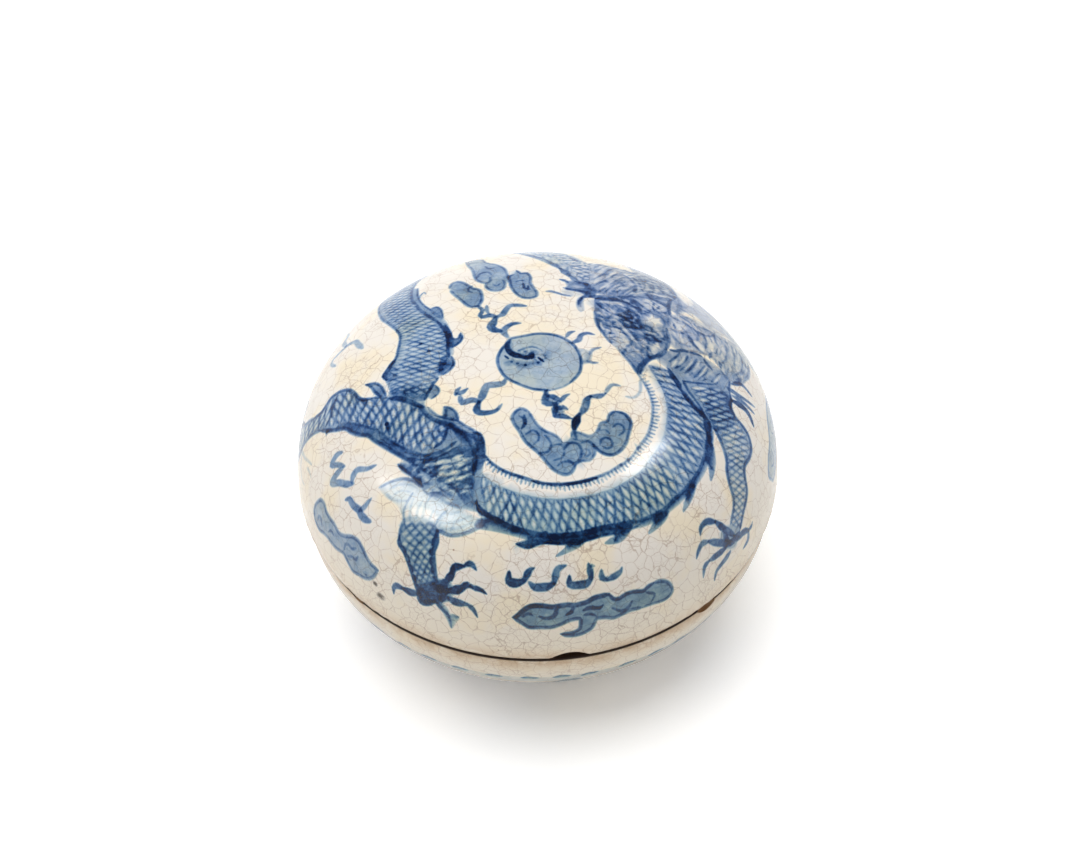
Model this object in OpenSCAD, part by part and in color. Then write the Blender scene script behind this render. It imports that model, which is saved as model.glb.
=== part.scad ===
// Round porcelain box for seal paste: a deep domed cover over a footed base, with the paste inside.
// Millimetres, +Z up. The origin is the middle of the foot ring, on the plane the box stands on.

/* [Body] */
// Widest diameter of the closed box
body_d = 80; // [72:0.5:100]
// Height of the widest line above the seam
equator_h = 2.1; // [1:0.1:4]
// How far the seam lies inside the widest line, on the radius
seam_inset = 0.8; // [0.2:0.1:1.6]
// Rounding of the glazed edges that meet at the seam
seam_round = 0.45; // [0.2:0.05:0.8]

/* [Cover] */
// Height of the cover above the seam
cover_h = 27.9; // [22:0.1:36]
// Squareness of the cover's shoulder, where 2 is an ellipse
cover_squareness = 2.55; // [2:0.05:3]
// Squareness of the hollow inside the cover
hollow_squareness = 2.45; // [2:0.05:3]
// Thickness of the cover's rim
cover_rim_t = 2.8; // [2.2:0.1:3.6]
// Thickness of the cover at its crown
crown_t = 3.2; // [2.4:0.1:5]

/* [Base] */
// Height of the seam above the foot's resting face
base_h = 22.4; // [19:0.1:28]
// Diameter of the foot ring
foot_d = 44; // [38:0.5:52]
// Height of the foot ring outside
foot_h = 1.9; // [1.4:0.1:3]
// Width of the foot ring at its root
foot_w = 4; // [3.2:0.1:5]
// How much each side of the foot ring leans in towards its tip
foot_lean = 0.6; // [0.2:0.1:0.9]
// Bevel on both edges of the foot's resting face
foot_bevel = 0.4; // [0.2:0.1:0.6]
// Depth of the recess inside the foot ring
recess_h = 2.6; // [1.6:0.1:3.4]
// Thickness of the floor between the recess and the bowl
floor_t = 3.4; // [2.6:0.1:5]
// Radius of the flat in the middle of the bowl
bowl_flat_r = 14; // [8:0.5:18]
// Squareness of the bowl's side
bowl_squareness = 2.4; // [2:0.05:3]

/* [Flange that the cover sits over] */
// Height of the flange above the seam
flange_h = 4.2; // [2.5:0.1:6]
// Thickness of the flange
flange_t = 2; // [1.6:0.1:2.6]
// Rounding along the top of the flange
flange_round = 0.6; // [0.3:0.05:0.75]
// Gap on the radius between the flange and the cover's rim
cover_clearance = 0.4; // [0.2:0.05:0.6]

/* [Seal paste] */
// Height of the paste's edge above the bowl's floor
paste_edge_h = 8.4; // [5:0.1:11]
// Rise of the paste from its edge to its middle
paste_crown_h = 5.4; // [2:0.1:7]
// Gap on the radius between the paste and the bowl's side
paste_gap = 0.3; // [0.2:0.05:0.8]

/* [Chips in the two rims] */
// Direction of the chip in the cover's rim, in degrees from +X
cover_chip_at = -83.5; // [-180:0.5:180]
// Width of the chip in the cover's rim
cover_chip_w = 7; // [3:0.1:9]
// Height of the chip in the cover's rim
cover_chip_h = 2.2; // [1:0.1:2.6]
// Direction of the larger chip in the base's rim, in degrees from +X
base_chip_at = -46.5; // [-180:0.5:180]
// Width of the larger chip in the base's rim
base_chip_w = 4.8; // [2:0.1:5.6]
// Height of the larger chip in the base's rim
base_chip_h = 1.5; // [0.8:0.1:2]
// Direction of the smaller chip in the base's rim, in degrees from +X
nick_at = -139.5; // [-180:0.5:180]
// Width of the smaller chip in the base's rim
nick_w = 3.6; // [2:0.1:4.6]
// Height of the smaller chip in the base's rim
nick_h = 0.8; // [0.5:0.1:2]

/* [Hidden] */
$fn = 128;
curve_steps = 32;
round_steps = 4;

body_r = body_d / 2;
seam_r = body_r - seam_inset;
seam_z = base_h;
equator_z = seam_z + equator_h;
socket_r = seam_r - cover_rim_t;
flange_r = socket_r - cover_clearance;
bowl_r = flange_r - flange_t;
flange_z = seam_z + flange_h;
floor_z = recess_h + floor_t;
foot_r = foot_d / 2;
foot_root_r = foot_r + foot_lean;
foot_inner_r = foot_r + 2 * foot_lean - foot_w;
// Depth below the seam at which the base's curve would close, if it ran on through the foot
base_curve_depth = (seam_z - foot_h) / sqrt(1 - pow(foot_root_r / seam_r, 2));
// Angle at a chip's ball between its depth and the edge it leaves on the outside
chip_edge_angle = 60;

// Quarter of a superellipse, from (reach, 0) to (0, rise)
function quarter(reach, rise, squareness) = [
    for (i = [0 : curve_steps])
        let (a = 90 * i / curve_steps)
            [reach * pow(cos(a), 2 / squareness), rise * pow(sin(a), 2 / squareness)]
];

function moved(points, dx, dy) = [for (p = points) [p[0] + dx, p[1] + dy]];

function reversed(points) = [for (i = [len(points) - 1 : -1 : 0]) points[i]];

// Arc of a small rounding about a centre, from one angle to another
function rounding(x, y, r, from, to) = [
    for (i = [0 : round_steps])
        let (a = from + (to - from) * i / round_steps) [x + r * cos(a), y + r * sin(a)]
];

// The outside between the seam's rounding and the widest line, which is upright at the widest line
function below_equator() = [
    for (i = [1 : round_steps])
        let (u = i / (round_steps + 1))
            [body_r - seam_inset * pow(1 - u, 2),
             seam_z + seam_round + (equator_h - seam_round) * u]
];

// The base's outside, an ellipse from the seam's rounding down to the root of the foot
function base_outside() = [
    let (start = asin(seam_round / base_curve_depth),
         end = asin((seam_z - foot_h) / base_curve_depth))
    for (i = [1 : curve_steps])
        let (a = start + (end - start) * i / curve_steps)
            [seam_r * cos(a), seam_z - base_curve_depth * sin(a)]
];

// The bowl's side, from its lip down to the flat of its floor, drawn in by a gap on the radius
function bowl_side(gap = 0) = [
    for (p = quarter(bowl_r - bowl_flat_r, seam_z - floor_z, bowl_squareness))
        [p[0] + bowl_flat_r - gap, seam_z - p[1]]
];

// A shallow scoop out of a rim, as wide and high as stated where it meets the outside
module scoop(at, width, height, up) {
    arch_r = (pow(width / 2, 2) + pow(height, 2)) / (2 * height);
    ball_r = arch_r / sin(chip_edge_angle);
    rotate([0, 0, at])
        translate([seam_r + ball_r * cos(chip_edge_angle), 0, seam_z + up * (height - arch_r)])
            sphere(r = ball_r);
}

module cover() {
    outside = concat(
        rounding(seam_r - seam_round, seam_z + seam_round, seam_round, -90, 0),
        below_equator(),
        moved(quarter(body_r, cover_h - equator_h, cover_squareness), 0, equator_z));
    hollow = concat(
        reversed(moved(
            quarter(socket_r, cover_h - equator_h - crown_t, hollow_squareness), 0, equator_z)),
        rounding(socket_r + seam_round, seam_z + seam_round, seam_round, 180, 270));
    color("ivory")
        difference() {
            rotate_extrude() polygon(concat(outside, hollow));
            scoop(cover_chip_at, cover_chip_w, cover_chip_h, 1);
        }
}

module base() {
    flange = concat(
        rounding(bowl_r + flange_round, flange_z - flange_round, flange_round, 180, 90),
        rounding(flange_r - flange_round, flange_z - flange_round, flange_round, 90, 0));
    shoulder = concat(
        [[flange_r, seam_z]],
        rounding(seam_r - seam_round, seam_z - seam_round, seam_round, 90, 0));
    foot = [
        [foot_r + foot_lean * foot_bevel / foot_h, foot_bevel],
        [foot_r - foot_bevel, 0],
        [foot_inner_r + foot_bevel, 0],
        [foot_inner_r - foot_lean * foot_bevel / foot_h, foot_bevel],
        [foot_inner_r - foot_lean, recess_h - foot_bevel],
        [foot_inner_r - foot_lean - foot_bevel, recess_h],
        [0, recess_h]];
    color("antiquewhite")
        difference() {
            rotate_extrude()
                polygon(concat(flange, shoulder, base_outside(), foot, [[0, floor_z]],
                    reversed(bowl_side())));
            scoop(base_chip_at, base_chip_w, base_chip_h, -1);
            scoop(nick_at, nick_w, nick_h, -1);
        }
}

module seal_paste() {
    paste_z = floor_z + paste_edge_h;
    side = [for (p = bowl_side(paste_gap)) if (p[1] < paste_z) p];
    edge_r = lookup(paste_z, [for (p = reversed(bowl_side(paste_gap))) [p[1], p[0]]]);
    crown = [for (p = quarter(edge_r, paste_crown_h, 2)) [p[0], paste_z + p[1]]];
    color("firebrick")
        rotate_extrude() polygon(concat(crown, [[0, floor_z]], reversed(side)));
}

base();
cover();
seal_paste();
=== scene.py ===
import math

import bpy
import numpy as np
from mathutils import Euler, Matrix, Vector, noise
from mathutils.geometry import delaunay_2d_cdt


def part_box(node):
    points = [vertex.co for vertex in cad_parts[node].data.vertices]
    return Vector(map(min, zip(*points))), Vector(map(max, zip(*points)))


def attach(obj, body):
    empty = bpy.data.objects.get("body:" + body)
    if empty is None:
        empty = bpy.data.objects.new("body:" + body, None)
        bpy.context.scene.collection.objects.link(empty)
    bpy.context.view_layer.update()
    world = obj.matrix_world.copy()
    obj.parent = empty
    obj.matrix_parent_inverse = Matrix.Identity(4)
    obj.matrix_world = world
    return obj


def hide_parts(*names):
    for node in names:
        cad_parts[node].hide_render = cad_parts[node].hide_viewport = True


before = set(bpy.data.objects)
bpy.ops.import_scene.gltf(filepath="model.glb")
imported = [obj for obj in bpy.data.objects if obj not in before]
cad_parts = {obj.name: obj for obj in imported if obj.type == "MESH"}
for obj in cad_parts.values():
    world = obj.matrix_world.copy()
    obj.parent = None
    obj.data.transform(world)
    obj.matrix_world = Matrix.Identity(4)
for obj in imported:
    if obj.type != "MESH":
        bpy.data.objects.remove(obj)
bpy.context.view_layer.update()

mm = 0.001
coverLow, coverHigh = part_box("cover")
baseLow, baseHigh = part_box("base")
print("frame loaded")


# camera: tilted down by 49 degrees, a long lens close to square on the lid's shoulder
cameraView = dict(aim=(0, 0, coverLow[2]), distance=0.640, tilt=49, roll=-1.38, lens=127.25,
                  shift=(0.0019, 0.041))


def placeCamera(v):
    tilt = math.radians(v["tilt"])
    aim = Vector(v["aim"])
    spot = aim + v["distance"] * Vector((0, -math.cos(tilt), math.sin(tilt)))
    bpy.ops.object.camera_add(location=spot)
    camera = bpy.context.object
    look = (aim - spot).to_track_quat("-Z", "Y")
    roll = Euler((0, 0, math.radians(v["roll"])))
    camera.rotation_euler = (look.to_matrix() @ roll.to_matrix()).to_euler()
    camera.data.lens = v["lens"]
    camera.data.sensor_width = 36
    camera.data.shift_x, camera.data.shift_y = v["shift"]
    camera.data.clip_start = 0.01
    bpy.context.scene.camera = camera


placeCamera(cameraView)
print("camera placed")


class Value:
    def __init__(self, shader, socket):
        self.shader, self.socket = shader, socket

    def math(self, operation, *values):
        return self.shader.add("Math", dict(operation=operation), dict(enumerate((self,) + values)))

    def __add__(self, other):
        return self.math("ADD", other)

    def __radd__(self, other):
        return self.math("ADD", other)

    def __sub__(self, other):
        return self.math("SUBTRACT", other)

    def __rsub__(self, other):
        return self.shader.number(other).math("SUBTRACT", self)

    def __mul__(self, other):
        return self.math("MULTIPLY", other)

    def __rmul__(self, other):
        return self.math("MULTIPLY", other)

    def between(self, low, high, fromZero=0.0, toOne=1.0):  # smooth step from low to high
        return self.shader.add("MapRange", dict(interpolation_type="SMOOTHSTEP"),
                               {"Value": self, "From Min": low, "From Max": high,
                                "To Min": fromZero, "To Max": toOne})


class Shader:
    def __init__(self, name):
        self.material = bpy.data.materials.new(name)
        self.material.use_nodes = True
        self.tree = self.material.node_tree
        self.tree.nodes.clear()

    def add(self, kind, settings=None, sockets=None, out=0):
        n = self.tree.nodes.new("ShaderNode" + kind)
        for name, value in (settings or {}).items():
            if name == "stops":
                ramp = n.color_ramp
                while len(ramp.elements) < len(value):
                    ramp.elements.new(1)
                for element, (place, color) in zip(ramp.elements, value):
                    element.position = place
                    element.color = (*color, 1)
            else:
                setattr(n, name, value)
        for name, value in (sockets or {}).items():
            if isinstance(value, Value):
                self.tree.links.new(value.socket, n.inputs[name])
            else:
                socket = n.inputs[name]
                if isinstance(value, tuple) and len(value) == 3 and len(socket.default_value) == 4:
                    value = (*value, 1)
                socket.default_value = value
        return Value(self, n.outputs[out])

    def number(self, value):
        return self.add("Math", dict(operation="ADD"), {0: value, 1: 0.0})

    def mixColors(self, factor, a, b, blend="MIX"):
        return self.add("Mix", dict(data_type="RGBA", blend_type=blend), {0: factor, 6: a, 7: b}, 2)

    def noise(self, where, size, detail=2.0, rough=0.5, out=0):  # size is that of one blotch, in metres
        return self.add("TexNoise", {}, {"Vector": where, "Scale": 1 / size, "Detail": detail,
                                         "Roughness": rough}, out)

    def distance(self, where, spot):
        return self.add("VectorMath", dict(operation="DISTANCE"), {0: where, 1: spot}, "Value")

    def cracks(self, where, size):
        return self.add("TexVoronoi", dict(feature="DISTANCE_TO_EDGE"),
                        {"Vector": where, "Scale": 1 / size, "Randomness": 1.0})

    def finish(self, surface):
        n = self.tree.nodes.new("ShaderNodeOutputMaterial")
        self.tree.links.new(surface.socket, n.inputs["Surface"])
        return self.material


def paint(r, g, b):  # a colour as it looks on screen, in the linear numbers that the nodes take
    return tuple(c / 12.92 if c <= 0.04045 else ((c + 0.055) / 1.055) ** 2.4
                 for c in (r / 255, g / 255, b / 255))


glazeLook = dict(
    # the warm cream is the rims' tea staining together with a painted warm shade low on the piece
    cream=paint(245, 238, 228), stainedAndShadedCream=paint(248, 235, 210), crackle=paint(166, 134, 108),
    stain=paint(150, 104, 62), amber=paint(218, 176, 116), biscuit=paint(176, 146, 112),
    # the near-black of the seam's groove and chips is dirt on the bare clay with painted shade of the gap in
    # it
    grimeAndShade=paint(32, 18, 12), iron=paint(62, 46, 34),
    crackSize=2.25 * mm, hairSize=1.15 * mm, crackWide=0.04, crackDepth=0.64, hairShare=0.55,
    # the sizes of the blotches that vary the glaze and the brushwork
    wanderSize=2.2 * mm, wanderReach=1.3 * mm, patchSize=9 * mm, grainSize=0.35 * mm, creepFineSize=0.7 * mm,
    brushSize=1.7 * mm, poolSize=4 * mm, strengthSize=6 * mm, creepSize=3.5 * mm, rippleSize=5 * mm,
    speckCell=3.4 * mm, specksRarerThan=0.9, stainShare=0.34, grimeAndShadeShare=0.95,
    glossRoughness=0.13, bareRoughness=0.6, bumpStrength=0.35, bumpDeep=0.08 * mm,
    # the cobalt is greener low down at the front and more violet round the head
    tints=[((4 * mm, -46 * mm, 30 * mm), 16 * mm, 44 * mm, (0.94, 1.03, 0.88)),
           ((20 * mm, 15 * mm, 46 * mm), 8 * mm, 26 * mm, (1.1, 0.97, 0.98))],
    ironSpots=[((-26.6 * mm, -29.3 * mm, 30.7 * mm), 0.72 * mm),
               ((-25.8 * mm, -30.4 * mm, 28.8 * mm), 1.1 * mm)],
    # the glaze over a pale, middling and full brush of cobalt
    washes=[(0.3, paint(178, 195, 209)), (0.5, paint(124, 153, 187)), (0.7, paint(62, 102, 154)),
            (0.85, paint(22, 60, 114)), (1, paint(4, 24, 62))],
)


def glazeMaterial(look):
    s = Shader("painted_glaze")
    place = s.add("TexCoord", out="Object")
    wander = s.noise(place, look["wanderSize"], 3, 0.6, "Color")
    wandered = s.add("VectorMath", dict(operation="MULTIPLY_ADD"),
                     {0: wander, 1: (look["wanderReach"],) * 3, 2: place})
    tone = s.add("Attribute", dict(attribute_name="cobalt"), out="Fac")
    bare = s.add("Attribute", dict(attribute_name="bare"), out="Fac")
    patches = s.noise(place, look["patchSize"], 3)
    grain = s.noise(place, look["grainSize"], 2)
    creepFine = s.noise(place, look["creepFineSize"], 3)
    brush = s.noise(place, look["brushSize"], 4, 0.65)
    pool = s.noise(place, look["poolSize"], 3, 0.6)

    big = s.cracks(wandered, look["crackSize"])
    hair = s.cracks(wandered, look["hairSize"])
    strength = s.noise(place, look["strengthSize"], 2)
    bigLine = big.between(0.0, look["crackWide"], 1, 0) * strength.between(0.3, 0.6, 0.35, 1)
    hairLine = hair.between(0.0, look["crackWide"] * 1.2, 1, 0) * strength.between(0.42, 0.62)
    crackLine = bigLine.math("MAXIMUM", hairLine * look["hairShare"])

    # warmer in patches, and low down towards the rim: tea staining there, and a painted warm shade of the
    # lower side
    height = s.add("SeparateXYZ", {}, {0: place}, "Z")
    seam = (height - coverLow[2]).math("ABSOLUTE")
    stainAndShadeWarmth = patches.between(0.42, 0.66).math("MAXIMUM", seam.between(2 * mm, 18 * mm, 0.75, 0))
    cream = s.mixColors(stainAndShadeWarmth, look["cream"], look["stainedAndShadedCream"])
    glaze = s.mixColors(crackLine * look["crackDepth"], cream, look["crackle"])
    # iron specks burnt through the glaze
    cells = {"Vector": place, "Scale": 1 / look["speckCell"]}
    specks = s.add("TexVoronoi", {}, cells)
    speckAt = s.add("TexVoronoi", {}, cells, "Color")
    rarer = look["specksRarerThan"]
    rare = s.add("SeparateColor", {}, {0: speckAt}).between(rarer, rarer + 0.03)
    glaze = s.mixColors(specks.between(0.03, 0.06, 0.75, 0) * rare, glaze, look["stain"])

    load = 0.74 + brush.between(0.3, 0.7) * 0.3 + pool.between(0.32, 0.68) * 0.18
    cobalt = tone * load + tone * (grain - 0.5) * 0.2 + tone * crackLine * 0.12
    # the stops are multiplied on to the cream, so each wash is divided by it first
    stops = [(0, (1, 1, 1))]
    for at, wash in look["washes"]:
        stops.append((at, tuple(c / w for c, w in zip(wash, look["cream"]))))
    blue = s.add("ValToRGB", dict(stops=stops), {0: cobalt})
    for spot, near, far, tint in look["tints"]:
        away = s.distance(place, spot)
        here = away.between(near, far, 1, 0) * cobalt.between(0.1, 0.4)
        blue = s.mixColors(here, blue, s.mixColors(1.0, blue, tint, "MULTIPLY"))
    glaze = s.mixColors(1.0, glaze, blue, "MULTIPLY")
    for spot, size in look["ironSpots"]:
        away = s.distance(place, spot) + creepFine * size * 0.9
        glaze = s.mixColors(away.between(size * 0.7, size * 1.4, 0.9, 0), glaze, look["iron"])

    # tea-coloured staining that has crept in from the bare rims
    creep = s.noise(place, look["creepSize"], 4, 0.6)
    stain = seam.between(0.4 * mm, 3.4 * mm, 1, 0) * creep.between(0.3, 0.72, 0.16, 0.9)
    halo = seam.between(0.4 * mm, 5 * mm, 1, 0) * creep.between(0.3, 0.6, 0.12, 0.5)
    glaze = s.mixColors(halo * (1 - tone), glaze, look["amber"])
    glaze = s.mixColors(stain * (1 - tone) * look["stainShare"], glaze, look["stain"])

    body = s.mixColors(creep.between(0.35, 0.65), look["biscuit"], look["stain"])
    # near-black by the seam, in the groove and the chips there: dirt on the bare clay and painted shade of
    # the gap
    groove = seam.between(0.3 * mm, 0.75 * mm, 1, 0)
    body = s.mixColors(groove * look["grimeAndShadeShare"], body, look["grimeAndShade"])
    color = s.mixColors(bare, glaze, body)

    ripple = s.noise(place, look["rippleSize"], 2)
    lift = ripple * 0.5 + grain * 0.03 - crackLine * 0.12
    bump = s.add("Bump", {}, {"Strength": look["bumpStrength"], "Distance": look["bumpDeep"], "Height": lift})
    rough = bare * look["bareRoughness"] + look["glossRoughness"] + grain * 0.06 + crackLine * 0.15
    surface = s.add("BsdfPrincipled", {}, {"Base Color": color, "Roughness": rough, "Normal": bump,
                                           "IOR": 1.5, "Specular IOR Level": 0.5})
    return s.finish(surface)


pasteLook = dict(reds=[(0.3, paint(128, 8, 4)), (0.55, paint(186, 24, 10)), (0.75, paint(214, 48, 22))],
                 foldSize=4 * mm, fibreSize=0.5 * mm, roughness=0.28, oil=0.25, bumpStrength=0.6,
                 bumpDeep=0.2 * mm)


def pasteMaterial(look):
    s = Shader("cinnabar_paste")
    place = s.add("TexCoord", out="Object")
    folds = s.noise(place, look["foldSize"], 4, 0.6)
    fibre = s.noise(place, look["fibreSize"], 3, 0.7)
    color = s.add("ValToRGB", dict(stops=look["reds"]), {0: folds * 0.7 + fibre * 0.3})
    bump = s.add("Bump", {}, {"Strength": look["bumpStrength"], "Distance": look["bumpDeep"],
                              "Height": fibre + folds * 0.5})
    surface = s.add("BsdfPrincipled", {}, {"Base Color": color, "Roughness": fibre * 0.25 + look["roughness"],
                                           "Normal": bump, "Coat Weight": look["oil"]})
    return s.finish(surface)


glazeOnClay = glazeMaterial(glazeLook)
cinnabar = pasteMaterial(pasteLook)
print("materials mixed")


# The painting is drawn on the skin laid flat, in millimetres: x to the right and y away from the
# front, both measured along the surface from the crown. A row of a motif is a kind of mark, its
# width and its tone, then its points. A slash starts the next mark of the same kind, a row without
# a kind goes on with the row above it, and @2-5 stands for points 2 to 5 of the last wash's outline.
#   wash tone: fills an outline      line width tone: a brush line, 0.8-0.3 runs from wide to thin
#   dot radius tone: round dabs      clear: wipes the glaze clean inside an outline
#   lift width share: takes that share of the cobalt off along a line

blur = dict(line=0.14, dab=0.12, wash=0.2, lift=0.25, clear=0.2)  # half of the blurred border of a mark


def readPoints(text, outline=()):
    points = []
    for word in text.split():
        if word[0] == "@":
            first, last = (int(n) for n in word[1:].split("-"))
            step = 1 if last >= first else -1
            points += [outline[k % len(outline)] for k in range(first, last + step, step)]
        else:
            points.append([float(n) for n in word.split(",")])
    return np.array(points)


def motifRows(text):
    rows = []
    for row in text.strip().splitlines():
        if ":" in row:
            rows.append(row)
        else:
            rows[-1] += row
    return rows


# the marks of a motif, moved to another place when it is used again
def readMarks(text, shift=(0, 0), turn=0, size=1):
    marks = []
    outline = []
    c, s = math.cos(math.radians(turn)) * size, math.sin(math.radians(turn)) * size
    for row in motifRows(text):
        head, body = row.split(":")
        kind, *numbers = head.split()
        tone = float(numbers[-1]) if numbers else 1
        for part in body.split("/"):
            drawn = readPoints(part, outline)
            p = drawn @ np.array([[c, s], [-s, c]]) + shift
            if kind == "dot":
                radius = float(numbers[0])
                for q in p:
                    ring = [(q[0] + radius * math.cos(a), q[1] + radius * math.sin(a))
                            for a in np.arange(8) * math.pi / 4]
                    marks.append(("dab", np.array(ring), 0, tone))
            elif kind in ("line", "lift"):
                wide = [float(w) * size for w in numbers[0].split("-")]
                marks.append((kind, p, wide, tone))
            else:
                marks.append((kind, p, 0, tone))
            if kind == "wash":
                outline = list(drawn)
    return marks


def throughPoints(points, closed=False, step=0.45):
    p = np.asarray(points, float)
    if closed:
        p = np.vstack([p[-1], p, p[0], p[1]])
    else:
        p = np.vstack([2 * p[0] - p[1], p, 2 * p[-1] - p[-2]])
    out = []
    for a, b, c, d in zip(p[:-3], p[1:-2], p[2:-1], p[3:]):
        n = max(1, int(round(np.hypot(*(c - b)) / step)))
        t = (np.arange(n) / n)[:, None]
        out.append(0.5 * (2 * b + (c - a) * t + (2 * a - 5 * b + 4 * c - d) * t * t
                          + (3 * b - a - 3 * c + d) * t ** 3))
    if not closed:
        out.append(p[-2][None])
    return np.vstack(out)


def pathLength(path):
    return np.concatenate([[0], np.cumsum(np.hypot(*np.diff(path, axis=0).T))])


def brushWidths(width, path):
    s = pathLength(path)
    if len(width) > 1:
        wide = np.interp(s / s[-1], np.linspace(0, 1, len(width)), width)
    else:
        wide = np.full(len(s), width[0])
    near = np.minimum(s, s[-1] - s)  # the brush lands and lifts within its own width
    return wide * np.clip(0.45 + 0.55 * near / np.maximum(wide, 0.3), 0, 1)


def markShape(mark):
    kind, points, width, tone = mark
    if kind in ("line", "lift"):
        path = throughPoints(points)
        return path, brushWidths(width, path) / 2
    return throughPoints(points, closed=True), None


def smoothStep(x):
    x = np.clip(x, 0, 1)
    return x * x * (3 - 2 * x)


def nearestOf(points, a, b):
    d = b - a
    t = np.clip(((points - a) @ d) / max(d @ d, 1e-12), 0, 1)
    return t, np.hypot(*(points - a - t[:, None] * d).T)


def insideOf(points, outline):
    inside = np.zeros(len(points), bool)
    for a, b in zip(outline, np.roll(outline, -1, axis=0)):
        if a[1] != b[1]:
            crosses = (a[1] > points[:, 1]) != (b[1] > points[:, 1])
            at = a[0] + (points[:, 1] - a[1]) * (b[0] - a[0]) / (b[1] - a[1])
            inside ^= crosses & (points[:, 0] < at)
    return inside


def markCover(points, path, half, soft):
    if half is not None:
        best = np.full(len(points), -9.0)
        for a, b, wa, wb in zip(path[:-1], path[1:], half[:-1], half[1:]):
            t, away = nearestOf(points, a, b)
            best = np.maximum(best, wa + (wb - wa) * t - away)
    else:
        best = np.full(len(points), 9.0)
        for a, b in zip(path, np.roll(path, -1, axis=0)):
            best = np.minimum(best, nearestOf(points, a, b)[1])
        best = np.where(insideOf(points, path), best, -best)
    return smoothStep((best + soft) / (2 * soft))


def paintedTone(points, marks):
    tone = np.zeros(len(points))
    for mark in marks:
        path, half = markShape(mark)
        soft = blur[mark[0]]
        margin = soft + (half.max() if half is not None else 0)
        near = np.all((points > path.min(0) - margin) & (points < path.max(0) + margin), axis=1)
        if near.any():
            cover = markCover(points[near], path, half, soft)
            if mark[0] in ("clear", "lift"):
                tone[near] *= 1 - cover * mark[3]
            else:
                tone[near] = 1 - (1 - tone[near]) * (1 - cover * mark[3])
    return tone


def pointAt(path, fractions):
    s = pathLength(path)
    return np.stack([np.interp(np.asarray(fractions) * s[-1], s, path[:, k]) for k in (0, 1)], -1)


def shake(n):
    return (math.sin(n * 12.9898) * 43758.5453 % 1 - 0.5) * 2


# wavy brush lines across a band; neighbours lean to and from each other and leave scales
def scaleNet(railA, railB, pitch, rows, width=0.36, tone=0.6, lean=0.0, start=0.0, end=1.0,
             reach=(0, 1), wave=0.42, shine=0.0):
    a, b = (throughPoints(readPoints(r)) for r in (railA, railB))
    length = (pathLength(a)[-1] + pathLength(b)[-1]) / 2
    count = int(length * (end - start) / pitch)
    marks = []

    def across(column, v):
        u = start + (end - start) * column / count + lean * (v - 0.5) / length
        v = reach[0] + (reach[1] - reach[0]) * v
        keep = (u > start - 0.001) & (u < end + 0.001) & (v > 0) & (v < 1)
        return pointAt(a, u[keep]) * (1 - v[keep, None]) + pointAt(b, u[keep]) * v[keep, None]

    v = np.linspace(0, 1, 4 * rows + 1)
    for k in range(-4, count + 5):
        p = across(k + wave * np.cos(math.pi * (rows * v + k)) + 0.08 * shake(k + rows), v)
        if len(p) > 2:
            marks.append(("line", p, [width * (1 + 0.2 * shake(k))],
                          tone * (1 + 0.18 * shake(k + 0.5))))
        for m in range(rows + 1) if shine else ():
            if (m + k) % 2:
                reachOfShine = np.linspace(-0.5, 0.5, 4) * (1 + 0.3 * shake(k + m))
                p = across(k + 0.5 + np.zeros(4), (m + reachOfShine) / rows)
                if len(p) > 2:
                    marks.append(("lift", p, [pitch * 0.3, pitch * 0.85, pitch * 0.7, pitch * 0.2],
                                  shine * (1 + 0.3 * shake(k + 0.37 * m))))
    return marks


# short strokes side by side over a field, light ones wiped out and dark ones laid on by turns
def dabs(field, gap, length, turn, bend, light, dark):
    outline = readPoints(field)
    low, high = outline.min(0), outline.max(0)
    marks = []
    for k, x in enumerate(np.arange(low[0], high[0], gap)):
        for m, y in enumerate(np.arange(low[1], high[1], length * 0.8)):
            spot = np.array([x + 0.4 * gap * shake(k + 0.7 * m), y + 0.5 * length * shake(m + 0.3 * k)])
            if insideOf(spot[None], outline)[0]:
                a = math.radians(turn + bend * (spot[0] - low[0]) + 14 * shake(k * 0.9 + m))
                along = np.array([math.cos(a), math.sin(a)]) * length / 2
                side = np.array([-along[1], along[0]]) * 0.2
                path = np.array([spot - along, spot + side, spot + along])
                if (k + m) % 2:
                    marks.append(("lift", path, [0.2, gap * 0.6, 0.15],
                                  light * (1 + 0.4 * shake(m + k * 0.61))))
                else:
                    marks.append(("line", path, [0.25, 0.4, 0.2],
                                  dark * (1 + 0.4 * shake(k + m * 0.53))))
    return marks


# short ticks along a rail, such as the belly's plates
def comb(rail, inward, pitch=0.75, length=1.0, width=0.3, tone=0.45, lean=0.0):
    path = throughPoints(readPoints(rail))
    total = pathLength(path)[-1]
    marks = []
    for k in range(1, int(total / pitch)):
        p, q = pointAt(path, [k * pitch / total, (k * pitch + 0.1) / total])
        along = (q - p) / np.hypot(*(q - p))
        across = np.array([-along[1], along[0]]) * inward
        tip = p + (across + lean * along) * length * (1 + 0.25 * shake(k))
        marks.append(("line", np.array([p, (p + tip) / 2 + 0.05 * along, tip]), [width],
                      tone * (1 + 0.3 * shake(k + 0.3))))
    return marks


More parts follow.
